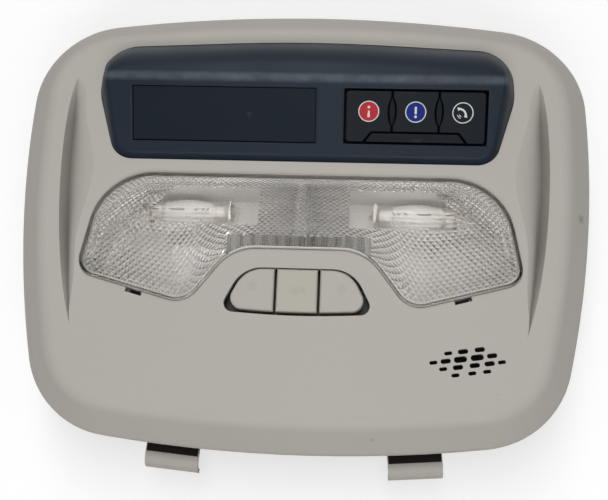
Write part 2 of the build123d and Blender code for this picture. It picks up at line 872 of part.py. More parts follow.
def bulb_contacts(side):
    """Two brass strips that grip a bulb's caps: foot, upright with a round hole, tab to the bus."""
    strips = []
    cone_slope = (bulb_cap - bulb_tip) / 2 / bulb_cone
    hole = bulb_tip + 2 * cone_slope * (contact_grip + contact_thickness / 2) + 2 * contact_fit
    half = contact_thickness / 2
    low_y = bulb_y - contact_width / 2
    high_y = bulb_y + contact_width / 2
    tab = contact_tab / 2
    for owner, x in contact_spots():
        if owner != side:
            continue
        outward = 1 if x > side * bulb_x else -1
        strip = block(x - half, x + half, low_y, high_y, tub_floor, bulb_z + contact_rise)
        foot_x = sorted((x, x + outward * contact_foot))
        strip += block(*foot_x, low_y, high_y, tub_floor, tub_floor + contact_thickness)
        strip += block(x - half, x + half, bulb_y - tab, bulb_y + tab, tub_low, tub_floor)
        strip -= Pos(x, bulb_y, bulb_z) * Rot(0, 90, 0) * Cylinder(hole / 2, 2 * contact_thickness)
        strips.append(strip)
    return strips


def bus_bars():
    """Three brass bars under the tub: one joins the inner contacts, two lead from the outer ones."""
    inner = bulb_x - bulb_length / 2 + contact_grip + bus_width / 2
    outer = bulb_x + bulb_length / 2 - contact_grip
    half = bus_width / 2
    low = tub_low - bus_thickness
    bars = [block(-inner, inner, bulb_y - half, bulb_y + half, low, tub_low)]
    for x in (-outer, outer):
        bars.append(block(x - half, x + half, bulb_y + half - bus_length, bulb_y + half, low, tub_low))
    return bars


def key_strip(column):
    """The upright strip of the key opening that belongs to one key."""
    left = key_split + key_gap / 2 if column > 0 else -keys_low_half - key_lip
    right = -key_split - key_gap / 2 if column < 0 else keys_low_half + key_lip
    if column == 0:
        left, right = -key_split + key_gap / 2, key_split - key_gap / 2
    height = keys_height + 2 * key_lip
    return Pos((left + right) / 2, (keys_top + keys_bottom) / 2) * Rectangle(right - left, height)


def lamp_key(column):
    """A lamp key: cap, lip under the bezel's face, hollow guide post and a barbed rib to its switch."""
    strip = key_strip(column)
    outline = keys_outline(key_side_trim, key_corner_radius)
    cap_shape = (Pos(0, key_lift) * offset(outline, -key_gap)) & strip
    cap = prism(cap_shape, key_low_z, key_top_z)
    cap = fillet(level_edges(cap, key_top_z), key_edge)
    lip_top = under_z - key_lip_gap
    lip_band = Pos(0, keys_top + key_lip - key_lip_band / 2) * Rectangle(bezel_width, key_lip_band)
    lip_shape = offset(keys_outline(), key_lip) & strip & lip_band
    for spots, diameter in ((deck_spots, boss_diameter), (tub_spots, 2 * screw_ear_radius)):
        for x, y in spots:
            lip_shape -= Pos(x, y) * Circle(diameter / 2 + guide_fit)
    cap += prism(lip_shape, lip_top - key_lip_thickness, lip_top)
    cap += rod(column * key_post_x, key_post_y, key_post_low, key_low_z + key_edge, key_post)
    cap -= rod(column * key_post_x, key_post_y, key_post_low, key_post_low + key_bore_depth, key_bore)
    half = key_rib / 2
    rib_x = column * key_rib_x
    rib_low = switch_board_top + tact_height + key_travel + tact_clearance
    rib_top = key_low_z + key_edge
    cap += block(rib_x - half, rib_x + half, key_rib_y - half, key_rib_y + half, rib_low, rib_top)
    barb_top = deck_low - key_lip_gap
    barb_low = barb_top - key_barb_height
    barb_y = key_rib_y - half
    return cap + block(rib_x - half, rib_x + half, barb_y - key_barb, barb_y, barb_low, barb_top)


def key_spring(column):
    """Return spring of a lamp key, from the switch board up into the key's hollow post."""
    rise = key_post_low + key_bore_depth - switch_board_top - spring_wire - 2 * spring_fit
    path = Helix(rise / spring_turns, rise, spring_diameter / 2)
    wire = sweep(Plane(origin=path @ 0, z_dir=path % 0) * Circle(spring_wire / 2), path)
    return Pos(column * key_post_x, key_post_y, switch_board_top + spring_fit + spring_wire / 2) * wire


def key_housing():
    """Black deck under the key opening: guide tubes, windows for the ribs, pillars and ears."""
    deck = offset(keys_outline(), deck_margin)
    body = prism(deck, deck_low, deck_top)
    guide = key_post + 2 * guide_fit
    window = Box(key_rib + 2 * guide_fit, key_rib + 2 * guide_fit, 2 * deck_thickness)
    for x, y in deck_spots:
        body += rod(x, y, deck_low, deck_top, 2 * screw_ear_radius)
    for x, y in board_spots:
        body += rod(x, y, switch_board_top, deck_low, board_pillar)
    for column in (-1, 0, 1):
        x = column * key_post_x
        body += rod(x, key_post_y, switch_board_top, deck_low, guide + 2 * guide_wall)
        body -= rod(x, key_post_y, switch_board_top, deck_top, guide)
        body -= Pos(column * key_rib_x, key_rib_y, deck_top - deck_thickness / 2) * window
    for x, y in tub_spots:
        body -= rod(x, y, deck_low, deck_top, screw_head + 2 * guide_fit)
    for x, y in deck_spots:
        body -= pilot(x, y, deck_seat)
    for x, y in board_spots:
        body -= pilot(x, y, board_seat)
    return body


def switch_board():
    """Printed board under the key housing."""
    middle_y = (key_post_y + key_rib_y) / 2
    shape = Pos(0, middle_y) * RectangleRounded(switch_board_width, switch_board_height, boot_corner)
    board = prism(shape, board_seat, switch_board_top)
    for x, y in board_spots:
        board -= pilot(x, y, board_seat)
    return board


def microphone_boot():
    """Rubber cup that seals the microphone against the slots."""
    outer = RectangleRounded(boot_width, boot_height, boot_corner)
    channel = offset(outer, -boot_rim)
    body = prism(outer, under_z - boot_depth, under_z) - prism(channel, under_z - boot_channel, under_z)
    pocket_low = under_z - boot_channel - capsule_height
    body -= rod(0, 0, pocket_low, under_z, capsule_diameter + 2 * capsule_fit)
    return Pos(mic_x, mic_y) * body


def microphone():
    """Round microphone capsule with a small sound hole."""
    top = under_z - boot_channel
    capsule = rod(0, 0, top - capsule_height, top, capsule_diameter)
    capsule = fillet(level_edges(capsule, top), capsule_edge)
    capsule -= rod(0, 0, top - sound_hole_depth, top, sound_hole)
    return Pos(mic_x, mic_y) * capsule


def cover_wall_y(x, inset):
    """Where the cover's upper wall stands at a distance from the middle."""
    return half_height - top_bow + disc_edge(top_bow - inset, x)


def connector_front():
    """The plane on the cover's inner wall that the connector's flange bears on."""
    return cover_wall_y(connector_x + connector_width / 2 + connector_flange, cover_inset + cover_wall)


def clip_face():
    """The flat pad on the cover's upper wall that carries a spring clip."""
    return cover_wall_y(clip_x - clip_width / 2, cover_inset) + clip_pad


def rear_cover():
    """Black tray over the back: ears for its screws, side ribs, clip pads and the connector's hole."""
    outline = bezel_outline(cover_inset)
    form = prism(outline, cover_low, cover_top)
    form = fillet(level_edges(form, cover_low), cover_edge)
    ribs = Sketch()
    for step in range(rib_count):
        y = (step - (rib_count - 1) / 2) * rib_pitch
        ribs += Pos(0, y) * Rectangle(bezel_width, rib_width)
    ribs &= bezel_outline(cover_inset - rib_depth)
    form += prism(ribs, cover_low + rib_margin, cover_top - rib_margin)
    pad_top = cover_top - clip_drop + clip_bend
    pad_low = cover_top - clip_drop - clip_length
    pad_y = clip_face()
    for side in (-1, 1):
        x = side * clip_x
        form += block(x - clip_width / 2, x + clip_width / 2, pad_y - clip_pad_depth, pad_y, pad_low, pad_top)
        stud_length = clip_thickness + clip_stud_head
        stud = Cylinder(clip_stud / 2, 2 * stud_length)
        form += Pos(x, pad_y, (pad_top + pad_low) / 2) * Rot(90, 0, 0) * stud
    for x, y in cover_spots:
        reach = hypot(x, y)
        inward = Pos(-x / reach * cover_ear_length / 2, -y / reach * cover_ear_length / 2)
        ear = SlotCenterToCenter(cover_ear_length, 2 * cover_ear_radius)
        form += prism(Pos(x, y) * inward * Rot(0, 0, degrees(atan2(y, x))) * ear, cover_seat, cover_top)
    form -= prism(bezel_outline(cover_inset + cover_wall), cover_low + cover_wall, cover_top)
    for x, y in cover_spots:
        form -= pilot(x, y, cover_seat)
    hole_x = connector_width / 2 + connector_fit
    hole_z = connector_height / 2 + connector_fit
    middle_z = cover_low + connector_rise
    front = connector_front()
    return form - block(-connector_x - hole_x, hole_x - connector_x, front - cover_wall, half_height,
                        middle_z - hole_z, middle_z + hole_z)


def connector():
    """White socket through the cover's upper wall: box open towards +Y, with an inner flange."""
    front = connector_front()
    middle_z = cover_low + connector_rise
    reach = cover_wall_y(connector_x, cover_inset) + connector_reach
    half_x = connector_width / 2
    half_z = connector_height / 2
    rim_x = half_x + connector_flange
    rim_z = half_z + connector_flange
    body = block(-half_x, half_x, front - connector_flange, reach, -half_z, half_z)
    body += block(-rim_x, rim_x, front - connector_flange, front, -rim_z, rim_z)
    inner_x = half_x - connector_wall
    inner_z = half_z - connector_wall
    body -= block(-inner_x, inner_x, front - connector_flange + connector_base, reach, -inner_z, inner_z)
    for pin in pin_places():
        body -= pin * Box(pin_size, bezel_height, pin_size)
    return Pos(-connector_x, 0, middle_z) * body


def pin_places():
    """The connector's pins in two rows, from the middle of its socket."""
    row = connector_height / 2 - 2 * connector_wall
    start = (pin_columns - 1) / 2
    return [Pos((step - start) * pin_pitch, 0, level) for step in range(pin_columns) for level in (-row, row)]


def connector_pins():
    """Square tinned pins through the base of the connector."""
    low = connector_front() - connector_flange - pin_tail
    high = connector_front() - connector_flange + connector_base + pin_reach
    middle_z = cover_low + connector_rise
    pin = Pos(-connector_x, (low + high) / 2, middle_z) * Box(pin_size, high - low, pin_size)
    return [place * pin for place in pin_places()]


def spring_clip(side):
    """Bent steel strip on its pad: flat leg on the stud, and a leaf bowed outwards."""
    top = cover_top - clip_drop
    low = top - clip_length
    leg_y = clip_face() + clip_thickness / 2
    path = FilletPolyline(
        (leg_y, low),
        (leg_y, top),
        (leg_y + clip_bend, top),
        (leg_y + clip_reach, top - clip_bow_drop),
        (leg_y + clip_bend, low + clip_bend),
        radius=clip_radius,
    )
    strip = extrude(Plane.YZ * trace(path, clip_thickness), clip_width / 2, both=True)
    hole = Rot(90, 0, 0) * Cylinder(clip_stud / 2 + clip_stud_fit, 2 * clip_thickness)
    strip -= Pos(0, leg_y, (top + clip_bend + low) / 2) * hole
    return Pos(side * clip_x) * strip


def inner_screws():
    """The like screws that hold the insert, the tub, the key housing and the boards."""
    screws = []
    for spots, seat in (
        (insert_spots, insert_seat),
        (tub_spots, tub_seat),
        (deck_spots, deck_seat),
        (board_spots, board_seat),
    ):
        screws += [screw(x, y, seat) for x, y in spots]
    for spots, seat in ((pillar_spots, pillar_seat), (ear_spots, ear_seat)):
        screws += [call_place * screw(u, v, seat) for u, v in spots]
    return screws


columns = {"left": -1, "centre": 0, "right": 1}
call_names = {"emergency": -1, "info": 0, "phone": 1}
sides = {"left": -1, "right": 1}

parts = {
    "bezel": bezel(),
    "insert_panel": insert_panel(),
    "blank_cover": blank_cover(),
    "button_frame": button_frame(),
    "indicator_bar": indicator_bar(),
    "call_board": call_board(),
    "call_switches": [
        call_place * tact_switch(column * button_pitch, button_centre_v, -call_board_depth)
        for column in columns.values()
    ],
    "status_diode": status_diode(),
    "lens": lens(),
    "lamp_housing": lamp_housing(),
    "bus_bars": bus_bars(),
    "key_housing": key_housing(),
    "switch_board": switch_board(),
    "lamp_switches": [
        tact_switch(column * key_rib_x, key_rib_y, switch_board_top) for column in columns.values()
    ],
    "microphone_boot": microphone_boot(),
    "microphone": microphone(),
    "rear_cover": rear_cover(),
    "connector": connector(),
    "connector_pins": connector_pins(),
    "inner_screws": inner_screws(),
    "cover_screws": [screw(x, y, cover_seat) for x, y in cover_spots],
}
for name, column in call_names.items():
    parts[name + "_button"] = call_button(column)
for name, column in columns.items():
    parts[name + "_lamp_key"] = lamp_key(column)
    parts[name + "_key_spring"] = key_spring(column)
for name, side in sides.items():
    parts[name + "_bulb"] = bulb(side)
    parts[name + "_bulb_contacts"] = bulb_contacts(side)
    parts[name + "_spring_clip"] = spring_clip(side)

os.makedirs("parts", exist_ok=True)
for node, shape in parts.items():
    pieces = shape if isinstance(shape, list) else [shape]
    solids = [solid for piece in pieces for solid in piece.solids()]
    export_step(Compound(children=solids), f"parts/{node}.step")
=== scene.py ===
import math

import bmesh
import bpy
import numpy as np
from mathutils import Matrix, Vector

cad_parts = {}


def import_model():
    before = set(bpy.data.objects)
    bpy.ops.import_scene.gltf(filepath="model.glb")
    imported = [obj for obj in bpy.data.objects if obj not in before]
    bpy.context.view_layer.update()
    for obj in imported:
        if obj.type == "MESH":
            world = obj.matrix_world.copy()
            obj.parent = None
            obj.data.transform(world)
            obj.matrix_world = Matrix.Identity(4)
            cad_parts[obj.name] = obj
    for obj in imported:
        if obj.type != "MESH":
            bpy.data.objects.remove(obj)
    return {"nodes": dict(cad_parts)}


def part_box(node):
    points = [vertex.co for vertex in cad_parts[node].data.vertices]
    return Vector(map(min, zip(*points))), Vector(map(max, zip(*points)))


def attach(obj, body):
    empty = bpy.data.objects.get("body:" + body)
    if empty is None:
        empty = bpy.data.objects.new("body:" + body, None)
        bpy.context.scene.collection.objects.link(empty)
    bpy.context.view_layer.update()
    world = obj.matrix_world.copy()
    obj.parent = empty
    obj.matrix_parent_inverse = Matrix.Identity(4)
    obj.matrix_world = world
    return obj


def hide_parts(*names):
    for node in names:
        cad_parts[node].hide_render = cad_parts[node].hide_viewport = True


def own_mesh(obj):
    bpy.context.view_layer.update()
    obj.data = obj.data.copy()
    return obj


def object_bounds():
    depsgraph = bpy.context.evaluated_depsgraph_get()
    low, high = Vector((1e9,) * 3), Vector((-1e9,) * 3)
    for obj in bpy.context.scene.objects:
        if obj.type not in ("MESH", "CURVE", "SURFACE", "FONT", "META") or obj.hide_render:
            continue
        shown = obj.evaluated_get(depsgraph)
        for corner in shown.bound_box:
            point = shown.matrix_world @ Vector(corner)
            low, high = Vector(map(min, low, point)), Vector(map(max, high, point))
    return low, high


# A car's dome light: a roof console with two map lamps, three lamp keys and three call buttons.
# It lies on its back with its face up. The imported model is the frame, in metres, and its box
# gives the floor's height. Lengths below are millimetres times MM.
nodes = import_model()["nodes"]
cad_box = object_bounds()
MM = 0.001


# Bezel: the warm grey face moulding that carries everything else, moulded in one shot of ABS.
# The tool's spark grain gives it a soft sheen. It has faded unevenly, its scoops and other recesses
# carry painted shade, and it has one scuff on the right edge and two dark specks near the bottom.
BEZEL_MARKS = [(106.2, 2.2, 8.6, 2.4), (28.5, -82.1, 9.5, 0.8), (72.2, -64.9, 13.5, 0.7)]
NOISE_RANGE = (0.3, 0.7)


def feed(tree, socket, value):
    """Sets a shader socket to a value, or links it to another socket."""
    if isinstance(value, bpy.types.NodeSocket):
        tree.links.new(value, socket)
    else:
        socket.default_value = value


def node(tree, kind, settings=(), **inputs):
    """Adds a shader node with its settings; each keyword feeds the input of that name."""
    made = tree.nodes.new("ShaderNode" + kind)
    for name, value in dict(settings).items():
        setattr(made, name, value)
    for name, value in inputs.items():
        feed(tree, made.inputs[name.replace("_", " ")], value)
    return made


def combined(tree, kind, operation, first, second):
    """A node that combines two inputs by an operation, such as a product or a distance."""
    made = node(tree, kind, {"operation": operation})
    feed(tree, made.inputs[0], first)
    feed(tree, made.inputs[1], second)
    return made


def noise(tree, place, size, detail):
    """A noise from 0 to 1 whose patches are about a size across."""
    return node(tree, "TexNoise", Vector=place, Scale=1.0 / (size * MM), Detail=detail).outputs["Fac"]


def shades(tree, factor, low, high):
    """A ramp between two colours, driven by a noise about its middle."""
    ramp = node(tree, "ValToRGB", Fac=factor)
    for element, position, colour in zip(ramp.color_ramp.elements, NOISE_RANGE, (low, high)):
        element.position = position
        element.color = (*colour, 1.0)
    return ramp.outputs["Color"]


def textured(name, colour, drift, patch, roughness, grain, depth, **sockets):
    """Any finish here: soft patches of two near shades, a fine grain, and a sheen that wanders.

    The patches are a slow noise of the given size between the colour times one minus the drift and
    one plus it. The grain is a fast noise used as a height, and the roughness follows the patches
    by an eighth either way. Further keywords are the shader's own sockets.
    """
    material = bpy.data.materials.new(name)
    material.use_nodes = True
    tree = material.node_tree
    surface = tree.nodes["Principled BSDF"]
    place = node(tree, "TexCoord").outputs["Object"]
    patches = noise(tree, place, patch, 4.0)
    low = [c * (1.0 - drift) for c in colour]
    high = [min(c * (1.0 + drift), 1.0) for c in colour]
    height = noise(tree, place, grain, 2.0)
    bump = node(tree, "Bump", Strength=1.0, Distance=depth * MM, Height=height)
    sheen = node(tree, "MapRange", Value=patches, From_Min=NOISE_RANGE[0], From_Max=NOISE_RANGE[1],
                 To_Min=roughness * 0.88, To_Max=roughness * 1.12)
    feed(tree, surface.inputs["Base Color"], shades(tree, patches, low, high))
    feed(tree, surface.inputs["Normal"], bump.outputs["Normal"])
    feed(tree, surface.inputs["Roughness"], sheen.outputs["Result"])
    for socket, value in sockets.items():
        feed(tree, surface.inputs[socket.replace("_", " ")], value)
    return material


def tinted(material, share, colour):
    """Lets a finish's colour give way to another, by a share from 0 to 1 at each spot."""
    tree = material.node_tree
    base = tree.nodes["Principled BSDF"].inputs["Base Color"]
    before = base.links[0].from_socket
    mixed = node(tree, "MixRGB", Fac=share, Color1=before, Color2=(*colour, 1.0))
    tree.links.new(mixed.outputs["Color"], base)


def stained_or_lit(material, spot, reach, colour, mask=(1.0, 1.0, 1.0), core=0.35, speck=0.7):
    """Stains a finish or paints light or shade on it, round a spot or along a line through it where
    the mask drops an axis.

    The other colour's share is one within the core of the reach and falls evenly to none at the
    reach. It is multiplied by a noise of the speck's size, so that the mark is ragged.
    """
    tree = material.node_tree
    place = node(tree, "TexCoord").outputs["Object"]
    masked = combined(tree, "VectorMath", "MULTIPLY", place, mask).outputs["Vector"]
    apart = combined(tree, "VectorMath", "DISTANCE", masked, Vector(spot) * MM).outputs["Value"]
    near = node(tree, "MapRange", Value=apart, From_Min=core * reach * MM, From_Max=reach * MM,
                To_Min=1.0, To_Max=0.0).outputs["Result"]
    ragged = noise(tree, place, speck, 3.0)
    tinted(material, combined(tree, "Math", "MULTIPLY", near, ragged).outputs["Value"], colour)


def marked(material, spots, colour):
    """Stains a finish, or paints light or shade on it, at each (x, y, z, radius) spot."""
    for *spot, radius in spots:
        stained_or_lit(material, spot, radius, colour)


def painted_recess_shade(material, colour, reach, unshaded, shaded, most):
    """Painted shade in recesses: the less open a spot is, the more the colour gives way to it.

    A spot's openness is the share of directions above it in which nothing of its own piece stands
    within the reach. The painted shade grows evenly from none at the unshaded openness to the most at
    the shaded one.
    """
    tree = material.node_tree
    openness = node(tree, "AmbientOcclusion", {"only_local": True, "samples": 12}, Distance=reach * MM)
    recess_shade = node(tree, "MapRange", Value=openness.outputs["AO"], From_Min=shaded, From_Max=unshaded,
                To_Min=most, To_Max=0.0)
    tinted(material, recess_shade.outputs["Result"], colour)


def dress(material, *names):
    """Gives frame nodes one finish."""
    for name in names:
        nodes[name].data.materials.clear()
        nodes[name].data.materials.append(material)


bezel_finish = textured("bezel_grained_grey", (0.440, 0.416, 0.381), drift=0.022, patch=38.0,
                        roughness=0.56, grain=0.42, depth=0.012, Specular_IOR_Level=0.30)
# Painted shade: the colour darkens towards a dark brown in the scoops and other recesses.
painted_recess_shade(bezel_finish, (0.125, 0.115, 0.100), reach=34.0, unshaded=0.985, shaded=0.52, most=0.78)
marked(bezel_finish, BEZEL_MARKS, (0.14, 0.13, 0.12))
dress(bezel_finish, "bezel")


# Insert panel: a slate-blue wedge of satin ABS that hooks under the bezel's face and is screwed at
# its upper edge. Its tilted face has two windows, its back is a barrel, and all its edges are soft;
# a pale band along its ridge is a painted highlight. A window is given on the tilted face: left,
# right, low and high.
INSERT_HALF, INSERT_TOP, INSERT_LOW = 80.8, 71.7, 21.0
FACE_Z, TILT = 14.0, math.radians(22.0)
FACE_MID_Y, FACE_MID_Z = 35.35, 21.12
RIDGE_Y, RIDGE_Z = 49.7, 26.9
INSERT_CORNERS = [
    (-72.6, INSERT_LOW, 9.0),
    (72.6, INSERT_LOW, 9.0),
    (INSERT_HALF, INSERT_TOP - 24.0, 20.0),
    (80.0, INSERT_TOP - 3.9, 14.0),
    (0.0, INSERT_TOP, 600.0),
    (-80.0, INSERT_TOP - 3.9, 14.0),
    (-INSERT_HALF, INSERT_TOP - 24.0, 20.0),
]
INSERT_WINDOWS = [(-65.35, 4.95, -9.15, 11.75), (15.4, 69.4, -9.0, 11.8)]
INSERT_SKIRT, INSERT_WALL, INSERT_SOFT = 4.0, 1.6, 0.4
ARC_STEPS = 60
OUTER_COLUMN, COLUMN_PITCH, FAN_COLUMNS = 70.0, 1.2, 30
LOW_ROWS, WINDOW_ROWS, TOP_ROWS = 21, 4, 61


def rounded_path(corners):
    """Points and outward normals round a shape of (x, y, radius) corners, anticlockwise.

    At each corner an arc touches both sides. It starts the radius times the tangent of half the
    turn before the corner, and its normal turns evenly from one side's to the other's.
    """
    spots = np.array(corners, float)
    ahead = np.roll(spots[:, :2], -1, axis=0) - spots[:, :2]
    ahead /= np.linalg.norm(ahead, axis=1, keepdims=True)
    behind = np.roll(ahead, 1, axis=0)
    cross = behind[:, 0] * ahead[:, 1] - behind[:, 1] * ahead[:, 0]
    turn = np.arctan2(cross, (behind * ahead).sum(1))
    radius = spots[:, 2] * np.sign(turn)
    first = spots[:, :2] - behind * (spots[:, 2] * np.tan(np.abs(turn) / 2))[:, None]
    side = np.stack([behind[:, 1], -behind[:, 0]], 1)
    centre = first - side * radius[:, None]
    start = np.arctan2(side[:, 1], side[:, 0])
    angle = start[:, None] + turn[:, None] * np.linspace(0, 1, ARC_STEPS + 1)
    normals = np.stack([np.cos(angle), np.sin(angle)], -1)
    points = centre[:, None] + radius[:, None, None] * normals
    return points.reshape(-1, 2), normals.reshape(-1, 2)


def arc_middles(corners):
    """The place of each corner's middle point among the points of its rounded path."""
    return np.arange(len(corners)) * (ARC_STEPS + 1) + ARC_STEPS // 2


def sheet_faces(rows, columns, first=0):
    """The four-cornered faces of a grid of points, row by row."""
    low = first + np.arange(rows - 1)[:, None] * columns + np.arange(columns - 1)
    return np.stack([low, low + 1, low + columns + 1, low + columns], -1).reshape(-1, 4)


def border(rows, columns):
    """The points round a grid, anticlockwise from its first."""
    index = np.arange(rows * columns).reshape(rows, columns)
    return np.concatenate([index[0, :-1], index[:-1, -1], index[-1, :0:-1], index[:0:-1, 0]])


def ring_faces(lower, upper):
    """The faces between two closed loops of as many points."""
    return np.stack([lower, np.roll(lower, -1), np.roll(upper, -1), upper], -1)


def piece(name, points, faces, finish, slot, body, sharp=35.0):
    """One piece: equal points become one, faces turn outwards, and it rides on a body."""
    mesh = bpy.data.meshes.new(name)
    mesh.from_pydata((points * MM).tolist(), [], [face for group in faces for face in group.tolist()])
    joined = bmesh.new()
    joined.from_mesh(mesh)
    bmesh.ops.remove_doubles(joined, verts=joined.verts, dist=1e-7)
    bmesh.ops.recalc_face_normals(joined, faces=joined.faces)
    joined.to_mesh(mesh)
    joined.free()
    made = bpy.data.objects.new(name, mesh)
    bpy.context.scene.collection.objects.link(made)
    mesh.shade_smooth()
    mesh.set_sharp_from_angle(angle=math.radians(sharp))
    mesh.materials.append(finish)
    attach(made, body)
    return made


def soft_least(one, other, blend):
    """The lesser of two heights, rounded off where they come within the blend of each other."""
    share = np.maximum(blend - np.abs(one - other), 0.0) / blend
    return np.minimum(one, other) - share**2 * blend / 4


def insert_height(y, edge, below_top):
    """Height of the insert: its roof, cut down near its edge by a steep drafted side.

    The roof is the lesser of the tilted face, the ridge's slope and the barrel's back, which climbs
    1.284 for each step down from the top edge. The side climbs 2.75 for each step in from the
    outline. They start just above the bezel's face and meet in soft rounds.
    """
    face = FACE_Z + 1.3 + (y - INSERT_LOW) * np.tan(TILT)
    ridge = RIDGE_Z - (y - RIDGE_Y) * 0.113
    back = FACE_Z + 1.1 + below_top * 1.284
    side = FACE_Z + 0.35 + edge * 2.75
    barrel = soft_least(ridge, back, 9.0)
    return soft_least(soft_least(barrel, face, 1.1), side, 4.5)


def insert_grid(windows):
    """Grid of the insert seen from the front, with each point's way in from the outline and the top.

    Between the outer columns the lines are straight and upright, and follow the windows' sides.
    Beyond them they fan out to the outline's sides. Above and below the windows the rows bend by
    degrees into the outline's edges.
    """
    path, _ = rounded_path(INSERT_CORNERS)
    mid = arc_middles(INSERT_CORNERS)
    low_edge = path[mid[0]:mid[1] + 1]
    right_edge = path[mid[1]:mid[3] + 1]
    top_edge = path[mid[3]:mid[5] + 1][::-1]
    low_end, top_end = path[mid[1], 1], path[mid[3], 1]
    marks = np.unique(np.concatenate([[-OUTER_COLUMN, OUTER_COLUMN], windows[:, :2].ravel()]))
    inner = [np.linspace(a, b, max(int((b - a) / COLUMN_PITCH), 1), endpoint=False)
             for a, b in zip(marks[:-1], marks[1:])]
    inner = np.concatenate(inner + [[OUTER_COLUMN]])
    levels = np.unique(windows[:, 2:].ravel())
    middle = np.concatenate([np.linspace(a, b, WINDOW_ROWS, endpoint=False)
                             for a, b in zip(levels[:-1], levels[1:])])
    rows_y = np.concatenate([np.full(LOW_ROWS, levels[0]), middle, np.full(TOP_ROWS, levels[-1])])
    below = 1 - np.linspace(0, 1, LOW_ROWS, endpoint=False) ** 1.3
    above = np.linspace(0, 1, TOP_ROWS)
    low_share = np.concatenate([below, np.zeros(len(middle) + TOP_ROWS)])[:, None]
    top_share = np.concatenate([np.zeros(LOW_ROWS + len(middle)), above])[:, None]

    def row_y(low, top):
        """Rows between a lower and an upper edge, level across the windows."""
        return rows_y[:, None] + low_share * (low - levels[0]) + top_share * (top - levels[-1])

    def low_y(x):
        """The outline's lower edge at x."""
        return np.interp(x, low_edge[:, 0], low_edge[:, 1])

    def top_y(x):
        """The outline's upper edge at x."""
        return np.interp(x, top_edge[:, 0], top_edge[:, 1])

    def side_x(y):
        """The outline's right side at y."""
        return np.interp(y, right_edge[:, 1], right_edge[:, 0])

    inner_y = row_y(low_y(inner), top_y(inner))
    inner_x = np.broadcast_to(inner, inner_y.shape)
    fan = np.linspace(0, 1, FAN_COLUMNS + 1)[1:] ** 0.75
    end_y = row_y(low_end, top_end)
    fan_x = OUTER_COLUMN + (side_x(end_y) - OUTER_COLUMN) * fan
    start_y = inner_y[:, -1:]
    fan_y = start_y + (end_y - start_y) * fan
    low_start, top_start = low_y(OUTER_COLUMN), top_y(OUTER_COLUMN)
    low_line = low_start + (low_end - low_start) * fan
    top_line = top_start + (top_end - top_start) * fan
    fan_y = fan_y + low_share * (low_y(fan_x) - low_line) + top_share * (top_y(fan_x) - top_line)
    x = np.concatenate([-fan_x[:, ::-1], inner_x, fan_x], 1)
    y = np.concatenate([fan_y[:, ::-1], inner_y, fan_y], 1)
    lean = np.gradient(right_edge[:, 0], right_edge[:, 1])
    side_cos = np.interp(y, right_edge[:, 1], 1 / np.sqrt(1 + lean**2))
    from_side = (side_x(y) - np.abs(x)) * side_cos
    below_top = top_y(np.abs(x)) - y
    edge = np.minimum(from_side, np.minimum(y - low_y(np.abs(x)), below_top))
    return x, y, np.maximum(edge, 0.0), np.maximum(below_top, 0.0)


def insert_mesh():
    """The insert's sheet with its windows left open, and a skirt from its edge down into the bezel."""
    windows = np.array(INSERT_WINDOWS)
    windows[:, 2:] = FACE_MID_Y + windows[:, 2:] * np.cos(TILT)
    x, y, edge, below_top = insert_grid(windows)
    rows, columns = x.shape
    points = np.stack([x, y, insert_height(y, edge, below_top)], -1).reshape(-1, 3)
    faces = sheet_faces(rows, columns)
    across, up, _ = points[faces].mean(1).T
    open_spots = [(across > a) & (across < b) & (up > c) & (up < d) for a, b, c, d in windows]
    faces = faces[~np.any(open_spots, axis=0)]
    loop = border(rows, columns)
    skirt = points[loop] * (1, 1, 0) + (0, 0, FACE_Z - INSERT_SKIRT)
    low_loop = len(points) + np.arange(len(loop))
    return np.concatenate([points, skirt]), [faces, ring_faces(low_loop, loop)]


insert_finish = textured("insert_satin_slate", (0.0072, 0.0135, 0.0235), drift=0.05, patch=30.0,
                         roughness=0.40, grain=0.5, depth=0.010, Specular_IOR_Level=0.15)
# Painted highlight: a pale band along the ridge line, lighter than the insert's own colour.
stained_or_lit(insert_finish, (0.0, RIDGE_Y + 0.2, RIDGE_Z - 0.3), 2.3, (0.090, 0.115, 0.136),
     mask=(0.0, 1.0, 1.0), core=0.3, speck=6.0)
insert = piece("insert_soft_wedge", *insert_mesh(), insert_finish, "insert_plastic", "console", 40.0)
insert_wall = insert.modifiers.new("wall", "SOLIDIFY")
insert_wall.thickness = INSERT_WALL * MM
insert_wall.offset = -1.0
insert_edges = insert.modifiers.new("soft_edges", "BEVEL")
insert_edges.width = INSERT_SOFT * MM
insert_edges.segments = 2
insert_edges.limit_method = "ANGLE"
insert_edges.angle_limit = math.radians(55.0)
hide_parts("insert_panel")


# Blank cover: a plain plate of the insert's own plastic in the left window, held from behind by
# heat stakes. It is a little duller and darker than the insert and has one faint spot.
BLANK_SPOT = [(-20.5, 37.0, 21.5, 1.1)]
blank_finish = textured("blank_satin_slate", (0.0042, 0.0090, 0.0145), drift=0.05, patch=22.0,
                        roughness=0.46, grain=0.5, depth=0.008, Specular_IOR_Level=0.10)
marked(blank_finish, BLANK_SPOT, (0.035, 0.040, 0.050))
dress(blank_finish, "blank_cover")


# Call buttons: three near-black caps, each sprung on its own switch and printed with a white sign
# in a ring, upside down in this view: an alarm sign on a red disc, an information sign on a blue
# disc and a handset on the bare cap. Prints are laid out flat as (u, v) about the ring's middle.
CALL_PLACE = (42.4, FACE_MID_Y + 1.4 * math.cos(TILT), FACE_MID_Z + 1.4 * math.sin(TILT))
CALL_BODIES = {-1: "emergency_call", 0: "info_call", 1: "phone_call"}
BUTTON_PITCH, BUTTON_V, BUTTON_FACE = 17.6, 1.9, -0.2
INK_HIGH, DISC_HIGH, DISC_LOW, RING_LOW = 0.05, 0.03, -0.03, -0.02
RING_RADIUS, RING_WIDE, DISC_RADIUS, DOT_RADIUS = 3.75, 0.36, 3.6, 0.52


